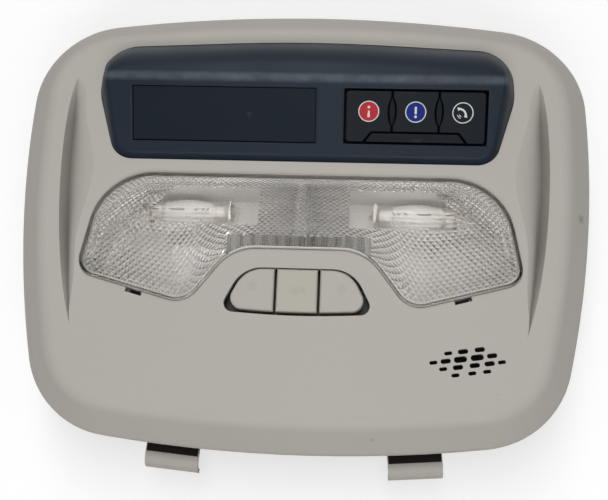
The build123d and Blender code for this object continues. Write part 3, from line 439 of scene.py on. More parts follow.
def on_button(column, flat, height):
    """Places flat points on a button, turned half round, at a height over its face."""
    u = CALL_PLACE[0] + column * BUTTON_PITCH - flat[..., 0]
    v = BUTTON_V - flat[..., 1]
    w = BUTTON_FACE + height
    y = CALL_PLACE[1] + v * np.cos(TILT) - w * np.sin(TILT)
    z = CALL_PLACE[2] + v * np.sin(TILT) + w * np.cos(TILT)
    return np.stack([u, y, z], -1)


def pad_faces(rows, columns):
    """The faces of a thin pad: a grid as its top, a like grid as its back, and the edge between."""
    count = rows * columns
    loop = border(rows, columns)
    back = sheet_faces(rows, columns, count)[:, ::-1]
    return [sheet_faces(rows, columns), back, ring_faces(loop + count, loop)]


def ink(name, column, flat, finish, low=0.0, high=INK_HIGH):
    """A printed patch: a grid of flat points as a thin pad between two heights over a button."""
    points = np.concatenate([on_button(column, flat, height).reshape(-1, 3) for height in (high, low)])
    piece(name, points, pad_faces(*flat.shape[:2]), finish, "button_plastic", CALL_BODIES[column])


def disc_patch(u, v, radius, steps=24):
    """A round patch: a square grid pulled onto a disc.

    Each of a point's two coordinates is multiplied by the root of one less half the other's square.
    """
    a, b = np.meshgrid(np.linspace(-1, 1, steps), np.linspace(-1, 1, steps))
    return np.stack([u + radius * a * np.sqrt(1 - b**2 / 2), v + radius * b * np.sqrt(1 - a**2 / 2)], -1)


def stroke_patch(path, width):
    """A stroke: each point of a path moved either way along its normal by half a width."""
    along = np.gradient(path, axis=0)
    along /= np.linalg.norm(along, axis=1, keepdims=True)
    across = np.stack([-along[:, 1], along[:, 0]], -1) * np.reshape(width, (-1, 1))
    return path + across * np.linspace(-0.5, 0.5, 5)[:, None, None]


def arc_path(u, v, radius, start, end, steps=40):
    """A path along a circle from one angle to another, in degrees."""
    angle = np.radians(np.linspace(start, end, steps))
    return np.stack([u + radius * np.cos(angle), v + radius * np.sin(angle)], -1)


button_finish = textured("button_satin_black", (0.0038, 0.0060, 0.0100), drift=0.06, patch=14.0,
                         roughness=0.42, grain=0.35, depth=0.006, Specular_IOR_Level=0.11)
dress(button_finish, "emergency_button", "info_button", "phone_button")
white_ink = textured("ink_white", (0.62, 0.62, 0.61), drift=0.05, patch=2.0,
                     roughness=0.5, grain=0.15, depth=0.004)
red_ink = textured("ink_red", (0.44, 0.030, 0.036), drift=0.06, patch=2.5,
                   roughness=0.5, grain=0.15, depth=0.004, Specular_IOR_Level=0.1)
blue_ink = textured("ink_blue", (0.009, 0.024, 0.190), drift=0.06, patch=2.5,
                    roughness=0.5, grain=0.15, depth=0.004, Specular_IOR_Level=0.1)
ring_stroke = stroke_patch(arc_path(0, 0, RING_RADIUS, 0, 359.99, 97), RING_WIDE)
for sign, column in (("alarm", -1), ("info", 0), ("handset", 1)):
    ink(sign + "_ring", column, ring_stroke, white_ink, low=RING_LOW)
for sign, column, finish in (("alarm", -1, red_ink), ("info", 0, blue_ink)):
    ink(sign + "_disc", column, disc_patch(0, 0, DISC_RADIUS), finish, DISC_LOW, DISC_HIGH)
alarm_wedge = stroke_patch(np.linspace((0.0, 2.2), (0.0, -0.3), 9), np.linspace(1.0, 0.55, 9))
ink("alarm_stem", -1, alarm_wedge, white_ink)
ink("alarm_dot", -1, disc_patch(0, -1.55, DOT_RADIUS, 12), white_ink)
ink("info_stem", 0, stroke_patch(np.linspace((0.0, 0.75), (0.0, -1.95), 9), 0.8), white_ink)
ink("info_dot", 0, disc_patch(0, 1.75, DOT_RADIUS, 12), white_ink)
handset_swell = 0.72 + 0.62 * np.abs(np.linspace(-1, 1, 40)) ** 5
ink("handset_grip", 1, stroke_patch(arc_path(1.35, 1.0, 2.45, 165, 285), handset_swell), white_ink)
for number, radius in enumerate((1.1, 1.8)):
    wave_stroke = stroke_patch(arc_path(0.25, 0.35, radius, 15, 75), 0.28)
    ink(f"handset_wave_{number}", 1, wave_stroke, white_ink)


# Indicator bar: a smoked light guide under the buttons, lit from behind by one diode. It is almost
# black until lit, and only a small pale window in its middle lets the light out.
BAR_WINDOW = [(x, 28.6, 18.2, 1.0) for x in (42.0, 43.0, 44.0)]
bar_finish = textured("bar_smoked", (0.0035, 0.0055, 0.0095), drift=0.05, patch=12.0,
                      roughness=0.36, grain=0.35, depth=0.003, Specular_IOR_Level=0.10)
marked(bar_finish, BAR_WINDOW, (0.026, 0.029, 0.036))
dress(bar_finish, "indicator_bar")


# Button frame and call board: a black frame screwed behind the call window guides the buttons, and
# a printed board on its back carries three push switches and the diode. The board has a green
# solder mask, paler over the copper tracks, which follow the crests of a bent wave.
frame_finish = textured("frame_black", (0.0035, 0.0048, 0.0070), drift=0.08, patch=16.0,
                        roughness=0.52, grain=0.4, depth=0.010, Specular_IOR_Level=0.10)
dress(frame_finish, "button_frame")
board_green = textured("board_green", (0.012, 0.085, 0.032), drift=0.10, patch=9.0,
                       roughness=0.38, grain=0.3, depth=0.004)
board_tree = board_green.node_tree
board_place = node(board_tree, "TexCoord").outputs["Object"]
board_wave = node(board_tree, "TexWave", {"bands_direction": "DIAGONAL"}, Vector=board_place,
                  Scale=120.0, Distortion=3.0)
board_tracks = node(board_tree, "MapRange", Value=board_wave.outputs["Fac"], From_Min=0.86, From_Max=0.92)
tinted(board_green, board_tracks.outputs["Result"], (0.03, 0.20, 0.07))
dress(board_green, "call_board")
switch_finish = textured("switch_black", (0.014, 0.014, 0.015), drift=0.10, patch=3.0,
                         roughness=0.42, grain=0.2, depth=0.005)
dress(switch_finish, "call_switches")
diode_finish = textured("diode_cream", (0.70, 0.66, 0.46), drift=0.06, patch=1.5,
                        roughness=0.32, grain=0.2, depth=0.003)
dress(diode_finish, "status_diode")


# Lens: one clear acrylic cap over both lamps, with a smooth top and a back pressed into small
# diamond prisms; painted shade lies on their lower facets and on strips along the arch and the top
# edge. Each bulb has a plain ridged window over it, and a matt fluted wall stands down onto the lamp
# housing. The bottom edge arches over the lamp keys, and the pale bead along the arch is a painted highlight.
LENS_CORNERS = [
    (-83.1, -24.4, 7.0),
    (-41.0, -35.8, 10.0),
    (-24.6, -13.7, 18.0),
    (24.6, -13.7, 18.0),
    (41.0, -35.8, 10.0),
    (83.1, -24.4, 7.0),
    (76.0, 15.0, 24.0),
    (-76.0, 15.0, 24.0),
]
LENS_TOP_Z, LENS_BACK_Z, LENS_FOOT_Z = 15.5, 13.6, 8.0
LENS_COLUMNS, LENS_ROWS, FLANK_SPREAD = 272, 72, 34
LENS_RIM, LENS_ROUND, LENS_WALL = 1.5, 0.5, 0.75
FLUTE_PITCH, FLUTE_DEEP = 0.8, 0.2
ARCH_HALF, ARCH_TOP, ARCH_FLUTE = 27.0, -8.6, 0.12
LENS_WINDOWS = [(-58.5, -15.5, -4.8, 9.8, -48.0), (18.5, 58.5, -5.2, 9.6, 50.0)]
RIDGE_ROWS, RIDGE_HALF = np.array([0.9, -1.2, -3.3]), 0.55


def row_shares():
    """How far up each row of prisms lies, from 0 to 1, wider below than above."""
    share = np.linspace(0, 1, LENS_ROWS + 1)
    return share * (1.22 - 0.22 * share)


def sampled(shares, key, run):
    """Points of a run where its key, which grows along it, takes the given shares."""
    return np.stack([np.interp(shares, key, column) for column in run.T], -1)


def lens_loop():
    """Points and normals round the lens, spread as its grid's border is: bottom, right, top and left.

    The bottom and the top are spaced evenly in x, and the two sides evenly along their length but
    closer together towards the top.
    """
    path, normals = rounded_path(LENS_CORNERS)
    mid = arc_middles(LENS_CORNERS)
    path, normals = np.roll(path, -mid[0], axis=0), np.roll(normals, -mid[0], axis=0)
    path, normals = np.vstack([path, path[:1]]), np.vstack([normals, normals[:1]])
    stops = np.append(mid - mid[0], len(path) - 1)[[0, 5, 6, 7, 8]]
    even, rise = np.linspace(0, 1, LENS_COLUMNS + 1), row_shares()
    points, outward = [], []
    for start, end, shares in zip(stops[:-1], stops[1:], (even, rise, even, 1 - rise[::-1])):
        run = path[start:end + 1]
        if shares is even:
            key = run[:, 0] - run[0, 0]
        else:
            key = np.append(0, np.cumsum(np.linalg.norm(np.diff(run, axis=0), axis=1)))
        key = key / key[-1]
        points.append(sampled(shares[:-1], key, run))
        outward.append(sampled(shares[:-1], key, normals[start:end + 1]))
    outward = np.concatenate(outward)
    return np.concatenate(points), outward / np.linalg.norm(outward, axis=1, keepdims=True)


def lens_grid(loop):
    """A net over the area inside a loop: each point is the sum of what its row's and its column's ends
    say, less what the four corners say, each weighted by how near it is.

    As the rows climb, they leave the arch's steep flanks for a smoother line: what the bottom edge has
    beyond its own running mean fades with the cube of the height left, and not with the height.
    """
    n, m = LENS_COLUMNS, LENS_ROWS
    bottom, right = loop[:n + 1], loop[n:n + m + 1]
    top = loop[n + m:2 * n + m + 1][::-1]
    left = np.vstack([loop[2 * n + m:], loop[:1]])[::-1]
    u = np.linspace(0, 1, n + 1)[None, :, None]
    v = row_shares()[:, None, None]
    net = (1 - v) * bottom + v * top + (1 - u) * left[:, None] + u * right[:, None]
    net = net - (1 - v) * ((1 - u) * bottom[0] + u * bottom[-1]) - v * ((1 - u) * top[0] + u * top[-1])
    bell = np.hanning(2 * FLANK_SPREAD + 1)
    mean = np.convolve(np.pad(bottom[:, 1], FLANK_SPREAD, "edge"), bell / bell.sum(), "valid")
    beyond = (bottom[:, 1] - mean) * np.clip((1 - np.abs(2 * u[0, :, 0] - 1)) / 0.3, 0, 1)
    net[..., 1] += ((1 - v) ** 3 - (1 - v))[..., 0] * beyond
    return net


def in_window(x, y):
    """Whether a spot is inside one of the two plain windows over the bulbs.

    A window is a box of left, right, low and top. Outwards of its fifth value its top edge falls 1.1
    for each step.
    """
    inside = []
    for left, right, low, top, slant in LENS_WINDOWS:
        upper = np.minimum(top, top - (x - slant) * math.copysign(1.1, slant))
        inside.append((x > left) & (x < right) & (y > low) & (y < upper))
    return np.any(inside, axis=0)


def in_arch(x, y):
    """Whether a spot is in the fluted strip along the arch of the bottom edge."""
    return (np.abs(x) < ARCH_HALF) & (y < ARCH_TOP)


def prism_heights(net):
    """How far each point of the net hangs down: diamond pyramids, with ridges in the windows.

    Two waves of straight slopes run along the net's two diagonals, and the lesser of them gives
    pyramids with square bases, as deep as their pitch and lean allow. In a window level ridges take
    their place, deeper at its outer end, and every fourth column is a fine rib. Along the arch
    every other column is a flute.
    """
    x, y = net[..., 0], net[..., 1]
    down, over = np.indices(x.shape)
    one = 1 - np.abs((over + down) / 2 % 2 - 1)
    other = 1 - np.abs((over - down) / 2 % 2 - 1)
    along, up = np.gradient(net, axis=1), np.gradient(net, axis=0)
    wide, high = np.abs(along[..., 0]), np.abs(up[..., 1])
    pitch = 4 * wide * high / np.hypot(wide, high)
    shear = np.abs(along[..., 0] * up[..., 1] - along[..., 1] * up[..., 0])
    pitch *= shear / np.linalg.norm(along, axis=-1) / np.linalg.norm(up, axis=-1)
    prisms = np.minimum(one, other) * pitch * 0.28
    ridges = np.maximum(1 - np.abs(y[..., None] - RIDGE_ROWS) / RIDGE_HALF, 0).max(-1)
    ridges = ridges * (0.07 + 0.16 * (np.abs(x) > 34.0)) + 0.05 * (over % 4 == 0)
    drop = np.where(in_window(x, y), ridges, prisms)
    drop = np.where(in_arch(x, y), ARCH_FLUTE * (over % 2), drop)
    drop[[0, -1], :] = 0
    drop[:, [0, -1]] = 0
    return drop


def prism_faces(rows, columns):
    """Triangles of the net, whose squares are cut along alternate diagonals, so that valleys are straight."""
    squares = sheet_faces(rows, columns).reshape(rows - 1, columns - 1, 4)
    down, over = np.indices(squares.shape[:2])
    even = ((down + over) % 2 == 0)[..., None]
    a, b, c, d = np.moveaxis(squares, -1, 0)
    first = np.where(even, np.stack([a, b, c], -1), np.stack([a, b, d], -1))
    second = np.where(even, np.stack([a, c, d], -1), np.stack([b, c, d], -1))
    return np.concatenate([first.reshape(-1, 3), second.reshape(-1, 3)])


def lens_mesh():
    """The whole lens: prism net below, smooth sheet above, and a rim carried round the outline.

    The rim's section runs from the net's border down a fluted inner wall, across the foot, up the
    outer wall and over a quarter round to the top sheet. Each of its points is a way in from the
    outline and a height.
    """
    loop, outward = lens_loop()
    net = lens_grid(loop - outward * LENS_RIM)
    rows, columns = net.shape[:2]
    flat = net.reshape(-1, 2)
    back = np.column_stack([flat, LENS_BACK_Z - prism_heights(net).ravel()])
    top = np.column_stack([flat, np.full(len(flat), LENS_TOP_Z)])
    run = np.cumsum(np.linalg.norm(np.roll(loop, -1, axis=0) - loop, axis=1))
    wall = LENS_WALL + np.abs((run / FLUTE_PITCH) % 2 - 1) * FLUTE_DEEP
    section = [(1.1, LENS_BACK_Z), (wall, LENS_BACK_Z - 0.4), (wall, LENS_FOOT_Z), (0.0, LENS_FOOT_Z)]
    for angle in np.linspace(0, np.pi / 2, 7):
        over, under = (1.0 - math.cos(angle)) * LENS_ROUND, (1.0 - math.sin(angle)) * LENS_ROUND
        section.append((over, LENS_TOP_Z - under))
    loops = []
    for inset, z in section:
        inset = np.broadcast_to(inset, len(loop))[:, None]
        loops.append(np.column_stack([loop - outward * inset, np.full(len(loop), z)]))
    around = border(rows, columns)
    rim = 2 * len(flat) + np.arange(len(section) * len(loop)).reshape(len(section), len(loop))
    chain = [around, *rim, around + len(flat)]
    faces = [prism_faces(rows, columns), sheet_faces(rows, columns, len(flat))]
    faces += [ring_faces(low, high) for low, high in zip(chain[:-1], chain[1:])]
    return np.concatenate([back, top] + loops), faces


def of_faces(made, what):
    """Each face's centre or normal, as arrays of x, y and z."""
    values = np.empty(len(made.data.polygons) * 3)
    made.data.polygons.foreach_get(what, values)
    return values.reshape(-1, 3).T


def painted_facet_shade(made):
    """How much painted shade each face of the lens's back carries, from 0, none, to 1.

    A prism's two lower facets carry the most, the one that faces the middle a little more than the
    other, and the more so the nearer they are to the outline. The strip along the arch is painted
    in dark streaks by the product of two waves, the strip along the top edge carries a little, and
    the windows none.
    """
    centre, normal = of_faces(made, "center") / MM, of_faces(made, "normal")
    high = centre[2] - LENS_BACK_Z
    back = (normal[2] < -0.3) & (high < 0.05) & (high > -1.2)
    x, y = centre[:2, back]
    level = np.hypot(normal[0], normal[1])[back] + 1e-6
    facing, falling = normal[:2, back] / level
    lower = np.clip(-falling, 0, 1) * (0.74 - 0.08 * np.sign(x) * facing)
    outline = lens_loop()[0][::4]
    apart = np.hypot(x[:, None] - outline[:, 0], y[:, None] - outline[:, 1]).min(1)
    near = np.clip(1 - (apart - LENS_RIM) / 16.0, 0, 1)
    prism_shade = np.where(in_window(x, y), 0.0, lower * (0.90 + 0.40 * near))
    streak = 0.80 + 0.20 * np.sin(4.1 * x) * np.sin(2.7 * x + 1.0)
    prism_shade = np.where(in_arch(x, y), streak, prism_shade)
    facet_shade = np.zeros(len(back))
    facet_shade[back] = np.where(y > 11.0, 0.06 + 0.3 * lower, prism_shade)
    return facet_shade


def rim_walls(made):
    """One for each matt face, else nought: the standing wall, its foot and the bead along the arch.

    The wall and foot are matt acrylic; the bead's pale matt finish is a painted highlight.
    """
    (x, y, z), normal = of_faces(made, "center") / MM, of_faces(made, "normal")
    upright = (np.abs(normal[2]) < 0.5) & (z < LENS_BACK_Z - 0.3)
    arch = (np.abs(x) < 26.0) & (y < -11.0) & (z > LENS_TOP_Z - 0.7)
    bead = arch & (normal[1] < -0.02)
    return (upright | bead | (z < LENS_FOOT_Z + 0.1)).astype(np.int32)


lens_finish = textured("lens_clear_acrylic", (0.935, 0.920, 0.905), drift=0.012, patch=25.0,
                       roughness=0.06, grain=0.8, depth=0.0004, IOR=1.49, Transmission_Weight=1.0,
                       Specular_Tint=(0.12, 0.12, 0.12, 1.0))
# Painted shade: the lens's colour gives way to near black by each face's painted-shade share.
lens_facet_shade = node(lens_finish.node_tree, "Attribute", {"attribute_name": "facet_shade"}).outputs["Fac"]
tinted(lens_finish, lens_facet_shade, (0.055, 0.057, 0.060))
# Matt rim finish for the wall and foot; on the bead along the arch its pale colour is a painted highlight.
rim_finish = textured("lens_matt_rim", (0.76, 0.745, 0.71), drift=0.03, patch=6.0,
                      roughness=0.5, grain=0.4, depth=0.004, IOR=1.49, Transmission_Weight=0.25)
lens = piece("lens_prismatic", *lens_mesh(), lens_finish, "lens", "console", 12.0)
lens.data.attributes.new("facet_shade", "FLOAT", "FACE").data.foreach_set("value", painted_facet_shade(lens))
lens.data.materials.append(rim_finish)
lens.data.polygons.foreach_set("material_index", rim_walls(lens))
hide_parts("lens")


# Lamp housing: a white reflector tub screwed under the lens, with a wall between the two lamps.
# It is gloss white ABS, with painted light round the bulbs and painted shade in the middle.
HOUSING_PAINTED_LIGHT = [(-40.0, 9.0, 2.0, 30.0), (42.0, 9.0, 2.0, 26.0), (-36.0, 12.0, 4.0, 26.0)]
HOUSING_PAINTED_SHADE = [(0.0, 2.0, 0.0, 34.0)]
housing_finish = textured("housing_gloss_white", (0.83, 0.815, 0.795), drift=0.02, patch=26.0,
                          roughness=0.35, grain=1.2, depth=0.006)
# Painted light: paler patches round the bulbs, lighter than the tub's own white.
marked(housing_finish, HOUSING_PAINTED_LIGHT, (0.96, 0.945, 0.925))
# Painted shade: a grey patch in the middle of the tub.
marked(housing_finish, HOUSING_PAINTED_SHADE, (0.40, 0.39, 0.38))
dress(housing_finish, "lamp_housing")


# Bulbs: two festoon bulbs lying along the console. Each is a blown opal barrel between two pressed
# caps with pointed ends, and a coiled filament hangs inside on its two leads. Profiles are given
# as (x, radius) about a bulb's middle.
BULB_X, BULB_Y, BULB_Z = 45.0, 5.0, -4.0
BARREL_HALF, BARREL_END, BARREL_SWELL, GLASS_WALL = 9.9, 3.6, 1.4, 0.45
CAP_PROFILE = np.array([
    (9.3, 0.0), (9.3, 3.55), (9.5, 3.7), (10.4, 3.7), (10.6, 3.55), (10.9, 3.55), (11.1, 3.7),
    (14.2, 3.7), (14.6, 3.5), (17.9, 1.35), (18.4, 1.0), (18.5, 0.6), (18.5, 0.0),
])
FILAMENT_LONG, FILAMENT_COIL, FILAMENT_SAG, FILAMENT_WIRE = 18.4, 0.42, 0.5, 0.09
FILAMENT_WINDING = 130.0


def glass_profile():
    """The barrel's section: its radius swells by a parabola, and the inner wall follows the outer."""
    belly = np.linspace(-BARREL_HALF, BARREL_HALF, 25)
    outer = np.stack([belly, BARREL_END + BARREL_SWELL * (1 - (belly / BARREL_HALF) ** 2)], -1)
    inner = outer[::-1] * (0.949, 1.0) - (0.0, GLASS_WALL)
    start, inner_start = (-BARREL_HALF, 0.0), (0.5 - BARREL_HALF, 0.0)
    end, inner_end = (BARREL_HALF, 0.0), (BARREL_HALF - 0.5, 0.0)
    return np.vstack([start, outer, end, inner_end, inner, inner_start, start])


def tube_faces(rings, steps):
    """Rings of point numbers one after another, and the faces between each ring and the next."""
    loops = np.arange(rings * steps).reshape(rings, steps)
    return loops, [ring_faces(low, high) for low, high in zip(loops[:-1], loops[1:])]


def turned(profile, side, steps=36):
    """A turned shape: a profile's points carried round a bulb's axis, closed into rings."""
    angle = np.linspace(0, 2 * np.pi, steps, endpoint=False)
    x = np.broadcast_to(side * BULB_X + profile[:, :1], (len(profile), steps))
    y = BULB_Y + profile[:, 1:] * np.cos(angle)
    z = BULB_Z + profile[:, 1:] * np.sin(angle)
    _, faces = tube_faces(len(profile), steps)
    return np.stack([x, y, z], -1).reshape(-1, 3), faces


def wire_tube(path, radius, steps=6):
    """A wire: a small ring carried along a path, square to it, and closed at both ends."""
    along = np.gradient(path, axis=0)
    along /= np.linalg.norm(along, axis=1, keepdims=True)
    across = np.cross(along, (0.12, 0.31, 0.94))
    across /= np.linalg.norm(across, axis=1, keepdims=True)
    beside = np.cross(along, across)
    angle = np.linspace(0, 2 * np.pi, steps, endpoint=False)[None, :, None]
    ring = path[:, None] + radius * (np.cos(angle) * across[:, None] + np.sin(angle) * beside[:, None])
    loops, faces = tube_faces(len(path), steps)
    return ring.reshape(-1, 3), faces + [loops[:1, ::-1], loops[-1:]]


def filament_path(side):
    """A straight lead at either end and a coil between them that hangs a little below the axis.

    Past 0.62 of the half length the wire is a lead, and climbs evenly to the axis.
    """
    share = np.linspace(0, 1, 400)
    lead = np.clip(np.abs(share - 0.5) * 2 - 0.62, 0, 1) / 0.38
    wound = np.where(lead > 0, 0.0, FILAMENT_COIL)
    x = side * BULB_X + (share - 0.5) * FILAMENT_LONG
    y = BULB_Y + wound * np.cos(share * FILAMENT_WINDING)
    z = BULB_Z + wound * np.sin(share * FILAMENT_WINDING) - FILAMENT_SAG * (1 - lead)
    return np.stack([x, y, z], -1)


glass_finish = textured("bulb_opal_glass", (0.96, 0.95, 0.93), drift=0.01, patch=12.0,
                        roughness=0.34, grain=0.8, depth=0.0005, IOR=1.47, Transmission_Weight=0.12)
cap_finish = textured("cap_nickel", (0.82, 0.80, 0.77), drift=0.06, patch=3.0,
                      roughness=0.60, grain=0.3, depth=0.004, Metallic=1.0)
filament_finish = textured("filament_tungsten", (0.30, 0.29, 0.28), drift=0.08, patch=0.5,
                           roughness=0.4, grain=0.1, depth=0.002, Metallic=1.0)
for hand, side in (("left", -1), ("right", 1)):
    bulb = [piece(hand + "_bulb_glass", *turned(glass_profile(), side), glass_finish, "bulb", "console")]
    for end, sign in (("a", -1), ("b", 1)):
        cap = turned(CAP_PROFILE * (sign, 1), side)
        bulb.append(piece(f"{hand}_bulb_cap_{end}", *cap, cap_finish, "steel", "console"))
    wire = wire_tube(filament_path(side), FILAMENT_WIRE)
    bulb.append(piece(hand + "_bulb_filament", *wire, filament_finish, "steel", "console"))
    for made in bulb:
        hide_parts(hand + "_bulb")


# Bulb contacts and bus bars: spring strips and straps stamped from brass sheet. The strips are
# tinned and grip the bulbs' caps, and the bare straps join them under the lamp housing.
tin_finish = textured("contact_tinned", (0.80, 0.79, 0.76), drift=0.08, patch=5.0,
                      roughness=0.62, grain=0.4, depth=0.005, Metallic=1.0)
dress(tin_finish, "left_bulb_contacts", "right_bulb_contacts")
brass_finish = textured("brass_stamped", (0.60, 0.43, 0.19), drift=0.14, patch=5.0,
                        roughness=0.34, grain=0.4, depth=0.005, Metallic=1.0)
dress(brass_finish, "bus_bars")


# Lamp keys: three smooth caps in the bezel's grey but a shade greener, dished by use. The print on
# them is nearly rubbed away, and only a faint shadow of it is left on each.
SIDE_PRINTS = [(-16.5, -28.2, 14.6, 2.6), (16.5, -28.6, 14.6, 2.6)]
CENTRE_PRINTS = [(-0.6, -29.9, 14.6, 2.2), (1.8, -29.3, 14.6, 1.8)]
key_finish = textured("key_smooth_grey", (0.410, 0.388, 0.347), drift=0.016, patch=9.0,
                      roughness=0.44, grain=0.3, depth=0.004, Specular_IOR_Level=0.35)
marked(key_finish, SIDE_PRINTS, (0.35, 0.335, 0.30))
dress(key_finish, "left_lamp_key", "right_lamp_key")
centre_finish = textured("key_smooth_green_grey", (0.412, 0.395, 0.340), drift=0.016, patch=9.0,
                         roughness=0.44, grain=0.3, depth=0.004, Specular_IOR_Level=0.35)
marked(centre_finish, CENTRE_PRINTS, (0.345, 0.335, 0.285))
dress(centre_finish, "centre_lamp_key")


# Key housing: a black deck under the keys, with guide tubes for their posts, a coil spring in each
# post that its key presses on, and a green board with one push switch for each key.
SPRING_TURNS, SPRING_RADIUS, SPRING_WIRE = 6, 2.3, 0.3


def spring_path(low, high, steps=360):
    """A coil's middle line: a point goes round an upright axis as it climbs evenly from low to high."""
    share = np.linspace(0, 1, steps)
    angle = 2 * np.pi * SPRING_TURNS * share
    middle = (low + high) / 2
    x = middle[0] + SPRING_RADIUS * np.cos(angle)
    y = middle[1] + SPRING_RADIUS * np.sin(angle)
    z = low[2] + SPRING_WIRE + (high[2] - low[2] - 2 * SPRING_WIRE) * share
    return np.stack([x, y, z], -1)


deck_finish = textured("deck_black", (0.0095, 0.0095, 0.010), drift=0.08, patch=16.0,
                       roughness=0.5, grain=0.4, depth=0.010)
dress(deck_finish, "key_housing")
spring_finish = textured("spring_steel", (0.52, 0.52, 0.53), drift=0.08, patch=2.0,
                         roughness=0.26, grain=0.2, depth=0.003, Metallic=1.0)
for hand in ("left", "centre", "right"):
    foot, head = (np.array(corner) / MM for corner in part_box(hand + "_key_spring"))
    coil = wire_tube(spring_path(foot, head), SPRING_WIRE, 10)
    spring = piece(hand + "_return_spring", *coil, spring_finish, "steel", "console", 60.0)
    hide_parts(hand + "_key_spring")
    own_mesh(spring)
dress(board_green, "switch_board")
dress(switch_finish, "lamp_switches")


# Microphone: a round capsule faced with black dust cloth, in a soft rubber boot that is pressed up
# behind the bezel's slots.
boot_finish = textured("boot_rubber", (0.006, 0.006, 0.0065), drift=0.10, patch=7.0,
                       roughness=0.85, grain=0.5, depth=0.020, Specular_IOR_Level=0.2)
dress(boot_finish, "microphone_boot")
cloth_finish = textured("capsule_cloth", (0.007, 0.007, 0.0075), drift=0.15, patch=1.0,
                        roughness=0.9, grain=0.3, depth=0.020, Specular_IOR_Level=0.1)
dress(cloth_finish, "microphone")


# Rear cover: a deep black tray with ribs and screw ears that closes the back and carries the
# clips and the connector. It is glass-filled nylon, coarser and duller than the face.
cover_finish = textured("cover_black_nylon", (0.0145, 0.0145, 0.0155), drift=0.16, patch=20.0,
                        roughness=0.58, grain=0.7, depth=0.030)
dress(cover_finish, "rear_cover")


# Connector: a socket moulded in natural nylon, snapped into the cover's upper wall, with two rows
# of tinned brass pins pressed through its floor.
socket_finish = textured("connector_natural", (0.66, 0.64, 0.57), drift=0.04, patch=8.0,
                         roughness=0.42, grain=0.4, depth=0.008)
dress(socket_finish, "connector")
pin_finish = textured("pin_tinned", (0.60, 0.59, 0.57), drift=0.08, patch=2.0,
                      roughness=0.24, grain=0.2, depth=0.003, Metallic=1.0)
dress(pin_finish, "connector_pins")


# Spring clips: two bent strips of zinc-plated spring steel, staked to pads on the cover's upper
# wall, that hold the console in its roof opening.
clip_finish = textured("clip_zinc", (0.50, 0.51, 0.53), drift=0.12, patch=6.0,
                       roughness=0.34, grain=0.5, depth=0.006, Metallic=1.0)
dress(clip_finish, "left_spring_clip", "right_spring_clip")


# Hook shadow pads: two thin near-black pads on the bezel's tongues, a painted shadow where the
# tongues pass under the bezel's edge. They lean with the bow of the bezel's lower edge.
TONGUE_X, TONGUE_Y, TONGUE_Z = 44.7, -86.16, -3.5
LOWER_BOW = 545.0
PAD_HALF, PAD_BEHIND, PAD_AHEAD = 9.7, 2.8, 1.2
PAD_HIGH, PAD_ROUND, PAD_SUNK = 0.4, 0.5, 0.05


def shadow_pad(side, steps=28):
    """A thin pad on a tongue: a grid across and along it, rounded off by a quarter round at each edge.

    The pad is laid out flat about the tongue's root, then turned by the angle whose sine is the
    tongue's place over the bow's radius.
    """
    across, along = np.meshgrid(np.linspace(-PAD_HALF, PAD_HALF, 3 * steps),
                                np.linspace(-PAD_BEHIND, PAD_AHEAD, steps))
    edge = np.minimum(PAD_HALF - np.abs(across), np.minimum(along + PAD_BEHIND, PAD_AHEAD - along))
    inward = np.clip(edge / PAD_ROUND, 0, 1)
    rise = PAD_HIGH * np.sqrt(inward * (2 - inward))
    lean = side * math.asin(TONGUE_X / LOWER_BOW)
    x = side * TONGUE_X + across * math.cos(lean) - along * math.sin(lean)
    y = TONGUE_Y + across * math.sin(lean) + along * math.cos(lean)
    sheets = [np.stack([x, y, z], -1).reshape(-1, 3)
              for z in (TONGUE_Z + rise, np.full_like(x, TONGUE_Z - PAD_SUNK))]
    return np.concatenate(sheets), pad_faces(*x.shape)


# Painted shadow: near-black pads that stand for the shadow under the bezel's lower edge.
shadow_pad_finish = textured("painted_shadow_black", (0.010, 0.009, 0.008), drift=0.25, patch=0.8, roughness=0.95,
                       grain=0.25, depth=0.06, Specular_IOR_Level=0.1, Sheen_Weight=0.05)
for hand, side in (("left", -1), ("right", 1)):
    piece(hand + "_hook_painted_shadow", *shadow_pad(side), shadow_pad_finish, "rubber", "console")


# Screws: zinc-plated steel, with small pan heads and a cross recess, driven into plastic bosses.
# One group holds the inner parts and the other the rear cover.
screw_finish = textured("screw_zinc", (0.56, 0.56, 0.58), drift=0.08, patch=2.0,
                        roughness=0.28, grain=0.2, depth=0.004, Metallic=1.0)
dress(screw_finish, "inner_screws", "cover_screws")


# Studio, in metres: a long soft panel overhead, a strip in front, and a faint even sky, over a
# pale sheet that the console lies on. The sheet and the sky look near white where they are seen,
# and light the console far less than that.
FLOOR_HALF = 3.0
SKY_LIGHT, SKY_SEEN = 0.18, 0.92
FLOOR_LIGHT_GREY, FLOOR_SEEN_GLOW = 0.35, 0.5
scene = bpy.context.scene
scene.view_settings.view_transform = "Standard"
world = bpy.data.worlds.new("studio_sky")
scene.world = world
world.use_nodes = True


def seen_directly(tree):
    """One for rays that show a thing, straight, in a reflection or through glass; nought for its light."""
    rays = node(tree, "LightPath")
    seen = rays.outputs["Is Camera Ray"]
    for other in ("Is Glossy Ray", "Is Transmission Ray"):
        seen = combined(tree, "Math", "MAXIMUM", seen, rays.outputs[other]).outputs["Value"]
    return seen


def soft_panel(name, place, width, length, watts):
    """An area lamp at one place, turned towards the console with its length in the console's Y."""
    lamp = bpy.data.lights.new(name, "AREA")
    lamp.shape = "RECTANGLE"
    lamp.size = width
    lamp.size_y = length
    lamp.energy = watts
    panel = bpy.data.objects.new(name, lamp)
    panel.location = place
    panel.rotation_euler = Vector(place).to_track_quat("Z", "Y").to_euler()
    scene.collection.objects.link(panel)


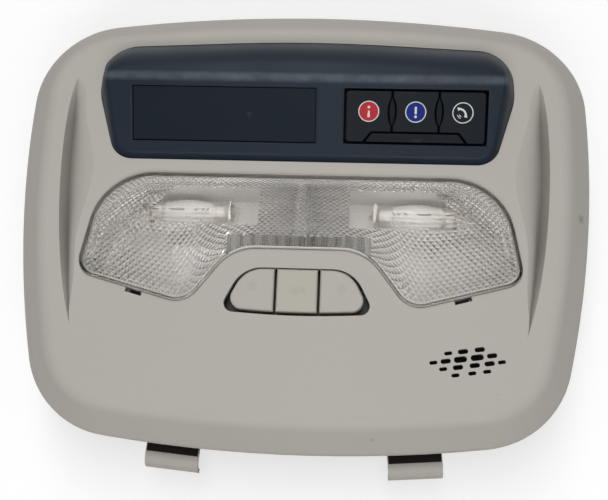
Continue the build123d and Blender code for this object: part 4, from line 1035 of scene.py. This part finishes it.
sky_tree = world.node_tree
sky = sky_tree.nodes["Background"]
sky.inputs["Color"].default_value = (1.0, 1.0, 1.0, 1.0)
sky_glow = node(sky_tree, "MapRange", Value=seen_directly(sky_tree), To_Min=SKY_LIGHT, To_Max=SKY_SEEN)
sky_tree.links.new(sky_glow.outputs["Result"], sky.inputs["Strength"])
soft_panel("ceiling_panel", (-0.03, 0.30, 0.88), width=0.30, length=1.30, watts=5.8)
soft_panel("front_strip", (0.04, -0.62, 0.62), width=0.70, length=0.16, watts=2.9)

floor_mesh = bpy.data.meshes.new("floor")
floor_corners = [(a * FLOOR_HALF, b * FLOOR_HALF, cad_box[0][2])
                 for a, b in ((-1, -1), (1, -1), (1, 1), (-1, 1))]
floor_mesh.from_pydata(floor_corners, [], [(0, 1, 2, 3)])
floor = bpy.data.objects.new("floor", floor_mesh)
scene.collection.objects.link(floor)
floor_finish = textured("pale_sheet", (0.55, 0.55, 0.55), drift=0.004, patch=400.0,
                        roughness=0.9, grain=3.0, depth=0.01)
floor_tree = floor_finish.node_tree
floor_surface = floor_tree.nodes["Principled BSDF"]
floor_seen = seen_directly(floor_tree)
floor_unseen = node(floor_tree, "MapRange", Value=floor_seen, To_Min=1.0, To_Max=0.0)
tinted(floor_finish, floor_unseen.outputs["Result"], [FLOOR_LIGHT_GREY] * 3)
floor_surface.inputs["Emission Color"].default_value = (1.0, 1.0, 1.0, 1.0)
floor_glow = node(floor_tree, "MapRange", Value=floor_seen, To_Max=FLOOR_SEEN_GLOW)
floor_tree.links.new(floor_glow.outputs["Result"], floor_surface.inputs["Emission Strength"])
floor_mesh.materials.append(floor_finish)


# Camera: over the face, towards the console's lower edge and turned slightly, as in the photo.
# The three directions are its right, up and back, and the lens comes from the focal length and the
# picture's width in pixels.
FOCAL_PIXELS, PICTURE_PIXELS = 849.1, 608.0
CAMERA_PLACE = Vector((18.86, -95.71, 318.21))
camera_data = bpy.data.cameras.new("camera")
camera_data.sensor_width = 36.0
camera_data.lens = FOCAL_PIXELS / PICTURE_PIXELS * camera_data.sensor_width
camera_data.clip_start = 0.01
camera_right = Vector((0.99823805, 0.03901885, -0.04470256))
camera_up = Vector((-0.02606201, 0.96513742, 0.26044297))
camera_back = Vector((0.0533063, -0.25881905, 0.9644538))
camera_turn = Matrix((camera_right, camera_up, camera_back)).transposed()
camera = bpy.data.objects.new("camera", camera_data)
camera.matrix_world = Matrix.Translation(CAMERA_PLACE * MM) @ camera_turn.to_4x4()
scene.collection.objects.link(camera)
scene.camera = camera
